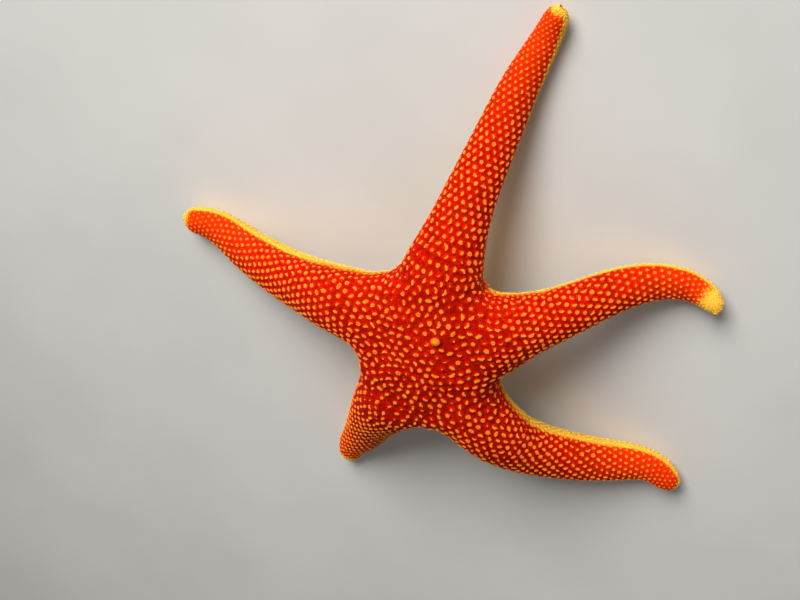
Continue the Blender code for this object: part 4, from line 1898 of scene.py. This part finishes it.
@dataclass
class SieveButton(SkinPart):
    """The round button on the disc: a low dome with fine furrows that run to its rim.

    Attributes:
        furrows: How many furrows it has.
        furrow_depth: How deep they are.
        spread: How much wider it is than the solid's button.
        sunk: How much lower its top is.
        bed: How far round it the skin is read for its tilt.
        shares: The radius of each of its rings, as a share of its own.
        sectors: How many sides each ring has.
    """

    furrows: int = 17
    furrow_depth: float = 0.045 * MM
    spread: float = -0.05 * MM
    sunk: float = 0.25 * MM
    bed: float = 1.5 * MM
    shares: Numbers = (1.02, 1.0, 0.96, 0.90, 0.82, 0.73, 0.63, 0.52, 0.41, 0.30, 0.19, 0.09)
    sectors: int = 136

    def build(self) -> Piece:
        """Builds the button.

        Returns:
            The piece.
        """
        low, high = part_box("madreporite")
        middle = (low + high) / 2.0
        place = np.array(self.skin.find_nearest(middle)[0])
        normal = np.zeros(3)
        for turn in np.linspace(0.0, 2.0 * math.pi, 24):
            step = Vector((math.cos(turn), math.sin(turn), 0.0)) * self.bed
            normal += self.skin.find_nearest(middle + step)[1]
        normal /= np.linalg.norm(normal)
        radius = min(high.x - low.x, high.y - low.y) / 2.0 + self.spread
        base = place - 0.12 * MM * normal
        top = float((np.array((middle.x, middle.y, high.z)) - base) @ normal) - self.sunk
        level = np.concatenate(frames_on(normal[None], np.zeros(1)))
        sectors = self.sectors
        around = 2.0 * np.pi * np.arange(sectors) / sectors
        rings, rises = [], []
        for share in self.shares:
            wave = 0.5 + 0.5 * np.cos(self.furrows * around + 1.2 * np.sin(2.0 * around + 4.0 * share))
            cut = wave**2 * ease(0.16, 0.5, share)
            height = top * max(1.0 - share**2, 0.0) ** 0.7 - self.furrow_depth * cut
            spot = radius * share * circle(sectors) @ level
            rings.append(base + spot + height[:, None] * normal)
            rises.append((1.0 - 0.9 * cut) * (1.0 - 0.6 * share**3))
        rings.append((base + top * normal)[None])
        rises.append(np.ones(1))
        points = np.concatenate(rings)
        parts = MeshParts()
        flat = 0.5 + (points - base) @ level.T / (2.2 * radius)
        parts.add(points, ring_faces(len(self.shares), sectors), flat, rise=np.concatenate(rises))
        return parts.build("sieve_button", ButtonFinish().material())


@dataclass
class EyeBead(SkinPart):
    """A red eyespot, set half into the end of an arm.

    Attributes:
        radius: Its radius.
        proud: How far its middle stands over the skin.
        pattern: Its shape.
    """

    radius: float = 0.21 * MM
    proud: float = -0.10 * MM
    pattern: TurnedPattern = TurnedPattern(
        (*((math.sin(turn), math.cos(turn)) for turn in np.linspace(-1.2, 1.45, 14)), (1.0, 0.0)), 24)

    def build(self, node: str, material: Material) -> Piece:
        """Builds one eyespot over its node.

        Args:
            node: The node's name.
            material: Its finish.

        Returns:
            The piece.
        """
        low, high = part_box(node)
        place, normal, _, _ = self.skin.find_nearest((low + high) / 2.0)
        way = np.array(normal)[None]
        parts = MeshParts()
        root = np.array(place)[None] + self.proud * way
        size = np.array((self.radius,))
        self.pattern.add(parts, root, way, size, size, np.array(((0.5, 0.5),)))
        return parts.build(f"{node}_bead", material)


# The studio


@dataclass(frozen=True)
class SoftLight:
    """A soft square lamp.

    Attributes:
        name: Its name.
        way: The direction to it.
        reach: How far off it is.
        width: How wide it is.
        power: Its power in watts.
        colour: Its colour.
        spread: How wide its beam is, in degrees.
    """

    name: str
    way: tuple[float, float, float]
    reach: float
    width: float
    power: float
    colour: Colour = (1.0, 1.0, 1.0)
    spread: float = 180.0

    def build(self, target: Vector) -> None:
        """Hangs the lamp, facing the star."""
        lamp = bpy.data.lights.new(self.name, "AREA")
        lamp.size = self.width
        lamp.energy = self.power
        lamp.color = self.colour
        lamp.spread = math.radians(self.spread)
        made = bpy.data.objects.new(self.name, lamp)
        way = Vector(self.way).normalized()
        made.location = target + way * self.reach
        made.rotation_mode = "QUATERNION"
        made.rotation_quaternion = way.to_track_quat("Z", "Y")
        bpy.context.scene.collection.objects.link(made)


@dataclass
class Studio:
    """A pale floor, soft light and the camera.

    Attributes:
        tilt: How far the camera leans from straight above, in degrees.
        toward: The heading on the floor that it leans to, in degrees.
        lens: Its focal length in millimetres.
        reach: How far in front of it the star's centre is.
        aside: How far right of the frame's middle the centre is, there.
        below: How far below the frame's middle it is, there.
        eye_level: The height of the point that it is framed on.
        floor_width: The floor's width.
        floor_level: How high it lies.
        sky: The sky's colour.
        sky_strength: How bright the sky is.
        lights: The lamps.
    """

    tilt: float = 40.0
    toward: float = 60.0
    lens: float = 55.0
    reach: float = 220.0 * MM
    aside: float = 4.77 * MM
    below: float = 8.26 * MM
    eye_level: float = 15.0 * MM
    floor_width: float = 3.0
    floor_level: float = -0.02 * MM
    sky: Colour = (1.0, 0.98, 0.95)
    sky_strength: float = 0.15
    lights: tuple[SoftLight, ...] = (
        SoftLight("key", (-0.10, 0.86, 0.54), 0.50, 0.28, 0.88, (1.0, 0.97, 0.92), 80.0),
        SoftLight("fill", (-0.75, -0.15, 0.65), 0.70, 0.60, 0.15, (1.0, 0.97, 0.94)),
        SoftLight("rim", (0.70, 0.35, 0.60), 0.70, 0.50, 0.25),
    )

    def lay_floor(self, material: Material) -> None:
        """Lays the floor just under the star."""
        half = self.floor_width / 2.0
        signs = ((-1.0, -1.0), (1.0, -1.0), (1.0, 1.0), (-1.0, 1.0))
        corners = np.array([(half * across, half * up, self.floor_level) for across, up in signs])
        floor = mesh_object("floor", corners, np.array([[0, 1, 2, 3]]), material, {})

    def light(self, target: Vector) -> None:
        """Hangs the lamps and sets the sky."""
        for lamp in self.lights:
            lamp.build(target)
        world = bpy.data.worlds.new("soft_sky")
        world.use_nodes = True
        back = world.node_tree.nodes["Background"]
        back.inputs["Color"].default_value = (*self.sky, 1.0)
        back.inputs["Strength"].default_value = self.sky_strength
        scene = bpy.context.scene
        scene.world = world
        scene.view_settings.view_transform = "Standard"

    def set_camera(self, target: Vector) -> None:
        """Sets up the camera.

        Args:
            target: The star's centre at the height that the camera is framed on.
        """
        tilt, toward = math.radians(self.tilt), math.radians(self.toward)
        level = math.sin(tilt)
        lean = Vector((-level * math.cos(toward), -level * math.sin(toward), math.cos(tilt)))
        from_camera = Vector(UP).rotation_difference(lean).to_matrix().transposed()
        seen_at = Vector((self.aside, -self.below, -self.reach))
        data = bpy.data.cameras.new("camera")
        data.lens = self.lens
        data.clip_start = 1.0 * MM
        camera = bpy.data.objects.new("camera", data)
        camera.matrix_world = Matrix.Translation(target - from_camera @ seen_at) @ from_camera.to_4x4()
        bpy.context.scene.collection.objects.link(camera)
        bpy.context.scene.camera = camera

    def build(self, centre: Array) -> None:
        """Builds the studio round the star's centre."""
        target = Vector((centre[0], centre[1], self.eye_level))
        self.lay_floor(FloorFinish().material())
        self.light(target)
        self.set_camera(target)


@dataclass
class BloodStar:
    """The whole star, built in order over the frame's nodes.

    Attributes:
        nodes: The frame's nodes by name.
        glow: How much warmer the skin is close round a tuft, partly the mound's own orange-red and partly a
            painted glow of light through the flesh.
        groove_share: How wide a groove is kept free of tufts, as a share of the half width.
        mouth_clear: How far round the mouth there are none.
        button_clear: The same round the button.
        eye_clear: The same round an eyespot.
        seed: The start of the random draws of the underside.
    """

    nodes: dict[str, Piece]
    glow: float = 0.12
    groove_share: float = 0.33
    mouth_clear: float = 4.0 * MM
    button_clear: float = 1.5 * MM
    eye_clear: float = 0.45 * MM
    seed: int = 5

    def centre(self) -> Array:
        """The star's centre, on the floor under the mouth."""
        low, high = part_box("mouth")
        return np.array((low + high) / 2.0) * LEVEL

    def arm_lines(self) -> list[ArmLine]:
        """The five arms' lines, before they are walked."""
        caps = (1.4 * MM, 3.4 * MM, 1.3 * MM, 2.6 * MM, 1.3 * MM)
        shifts = (-0.30, -0.06, 0.08, -0.40, 0.04)
        rolls = (1.05, 0.0, 0.0, 0.0, 0.0)
        return [ArmLine(*values) for values in zip(ARM_NAMES, caps, shifts, rolls)]

    def build(self) -> None:
        """Builds every piece."""
        centre = self.centre()
        lines = self.arm_lines()
        flesh = ["disc"] + [name for line in lines for name in line.nodes]
        skin = StarSkin()
        eyes = [self.nodes[f"{line.name}_eyespot"] for line in lines]
        skin.make([self.nodes[name] for name in [*flesh, "madreporite"]], eyes)
        tree = skin.tree()
        for line in lines:
            points, _, faces = skin.gather([self.nodes[name] for name in line.nodes])
            solids = BVHTree.FromPolygons(points.tolist(), faces.tolist())
            line.walk(tree, solids, self.nodes[line.nodes[0]], centre)
            LOG.info("%s: %.1f mm long", line.name, line.length / MM)
        plan = StarPlan(centre, lines)
        zones = plan.zones(skin.points, skin.normals())

        grooves = [GrooveLine(line, centre) for line in lines]
        roots = TuftField(skin).lay(plan, zones)
        roots = self.cleared(roots, plan, grooves, skin.tree())
        near = skin.raise_mounds(roots)
        # Round each tuft the warm mark rises: partly the mound's own orange-red, partly a painted glow of
        # light through the flesh.
        warm = np.clip(zones.warm + self.glow * near, 0.0, 1.0)
        marks = {"pale": zones.pale, "warm": warm, "near": near}
        hide = mesh_object("skin", skin.points, skin.faces, SkinFinish().material(), marks)
        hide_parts(*flesh)
        place_piece(hide)

        self.build_coat(roots, plan, skin)
        self.build_underside(grooves, plan, skin.tree())
        self.build_small_parts(plan, skin.tree())

    def cleared(self, roots: TuftRoots, plan: StarPlan, grooves: list[GrooveLine],
                skin: BVHTree) -> TuftRoots:
        """Drops the tufts that would stand in a groove, over the mouth or on a small part.

        Args:
            roots: The tufts' roots.
            plan: The star's plan.
            grooves: The grooves.
            skin: The skin.

        Returns:
            The roots that stay.
        """
        zones = plan.zones(roots.points, roots.normals)
        blocked = np.linalg.norm(roots.points[:, :2] - plan.centre[:2], axis=1) < self.mouth_clear
        for number, groove in enumerate(grooves):
            inner = groove.middles[: len(groove.middles) - len(groove.arm.middles)]
            offset = roots.points[:, None, :2] - inner[:, :2]
            distance = np.linalg.norm(offset, axis=2).min(axis=1)
            blocked |= (zones.arm < 0) & (distance < self.groove_share * groove.half_widths[0])
            step = np.round(zones.share * (len(groove.arm.middles) - 1)).astype(int)
            width = groove.arm.half_widths[np.clip(step, 0, len(groove.arm.middles) - 1)]
            in_groove = (np.abs(zones.aside) < self.groove_share * width) & (zones.lift < -0.2)
            blocked |= (zones.arm == number) & in_groove
        keep = ~((zones.lift < 0.25) & blocked)
        low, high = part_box("madreporite")
        from_button = np.linalg.norm(roots.points - np.array((low + high) / 2.0), axis=1)
        keep &= from_button > self.button_clear
        for line in plan.arms:
            low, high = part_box(f"{line.name}_eyespot")
            place = np.array(skin.find_nearest((low + high) / 2.0)[0])
            keep &= np.linalg.norm(roots.points - place, axis=1) > self.eye_clear
        return chosen(roots, keep)

    def build_underside(self, grooves: list[GrooveLine], plan: StarPlan, skin: BVHTree) -> None:
        """Builds the groove spines, the tube feet, the jaws and the mouth.

        Args:
            grooves: The grooves.
            plan: The star's plan.
            skin: A search tree over the skin.
        """
        rng = np.random.default_rng(self.seed)
        spines, feet = MeshParts(), MeshParts()
        for groove in grooves:
            GrooveFringe(plan, skin).add(spines, groove, rng)
            TubeFeet(plan, skin).add(feet, groove, rng)
        JawSpines(plan, skin).add(spines)
        fringe = spines.build("groove_spines", SpineFinish().material())
        keep_off_floor(fringe)
        place_piece(fringe)
        rows = feet.build("tube_feet", FootFinish().material())
        keep_off_floor(rows)
        place_piece(rows)
        film = MouthFilm(plan, skin).build()
        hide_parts("mouth")
        place_piece(film)

    def build_small_parts(self, plan: StarPlan, skin: BVHTree) -> None:
        """Builds the sieve button and the eyespots.

        Args:
            plan: The star's plan.
            skin: A search tree over the skin.
        """
        button = SieveButton(plan, skin).build()
        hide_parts("madreporite")
        place_piece(button)
        ember = EyeFinish().material()
        for line in plan.arms:
            bead = EyeBead(plan, skin).build(f"{line.name}_eyespot", ember)
            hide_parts(f"{line.name}_eyespot")
            place_piece(bead)

    def build_coat(self, roots: TuftRoots, plan: StarPlan, skin: StarSkin) -> None:
        """Builds the coat of tufts.

        Args:
            roots: The tufts' roots.
            plan: The star's plan.
            skin: The skin, with its mounds.
        """
        tree = skin.tree()
        zones = plan.zones(roots.points, roots.normals)
        places = plan.map_places(roots.points, zones)
        starts = roots.points + 0.1 * MM * roots.normals
        lifted = np.array([tree.find_nearest(Vector(start))[0] for start in starts])
        roots = TuftRoots(lifted, roots.normals, roots.spacing)
        material = SpineFinish().material()
        coat = SpineCoat()
        for number, name in enumerate(("disc", *ARM_NAMES)):
            keep = zones.arm == number - 1
            part = chosen(roots, keep), chosen(zones, keep), places[keep]
            piece = coat.build(f"spines_{name}", *part, material)
            place_piece(piece)


def main() -> None:
    """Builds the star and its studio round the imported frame."""
    logging.basicConfig(level=logging.INFO, format="%(name)s: %(message)s")
    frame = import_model()
    star = BloodStar(frame["nodes"])
    star.build()
    Studio().build(star.centre())


if __name__ == "__main__":
    main()
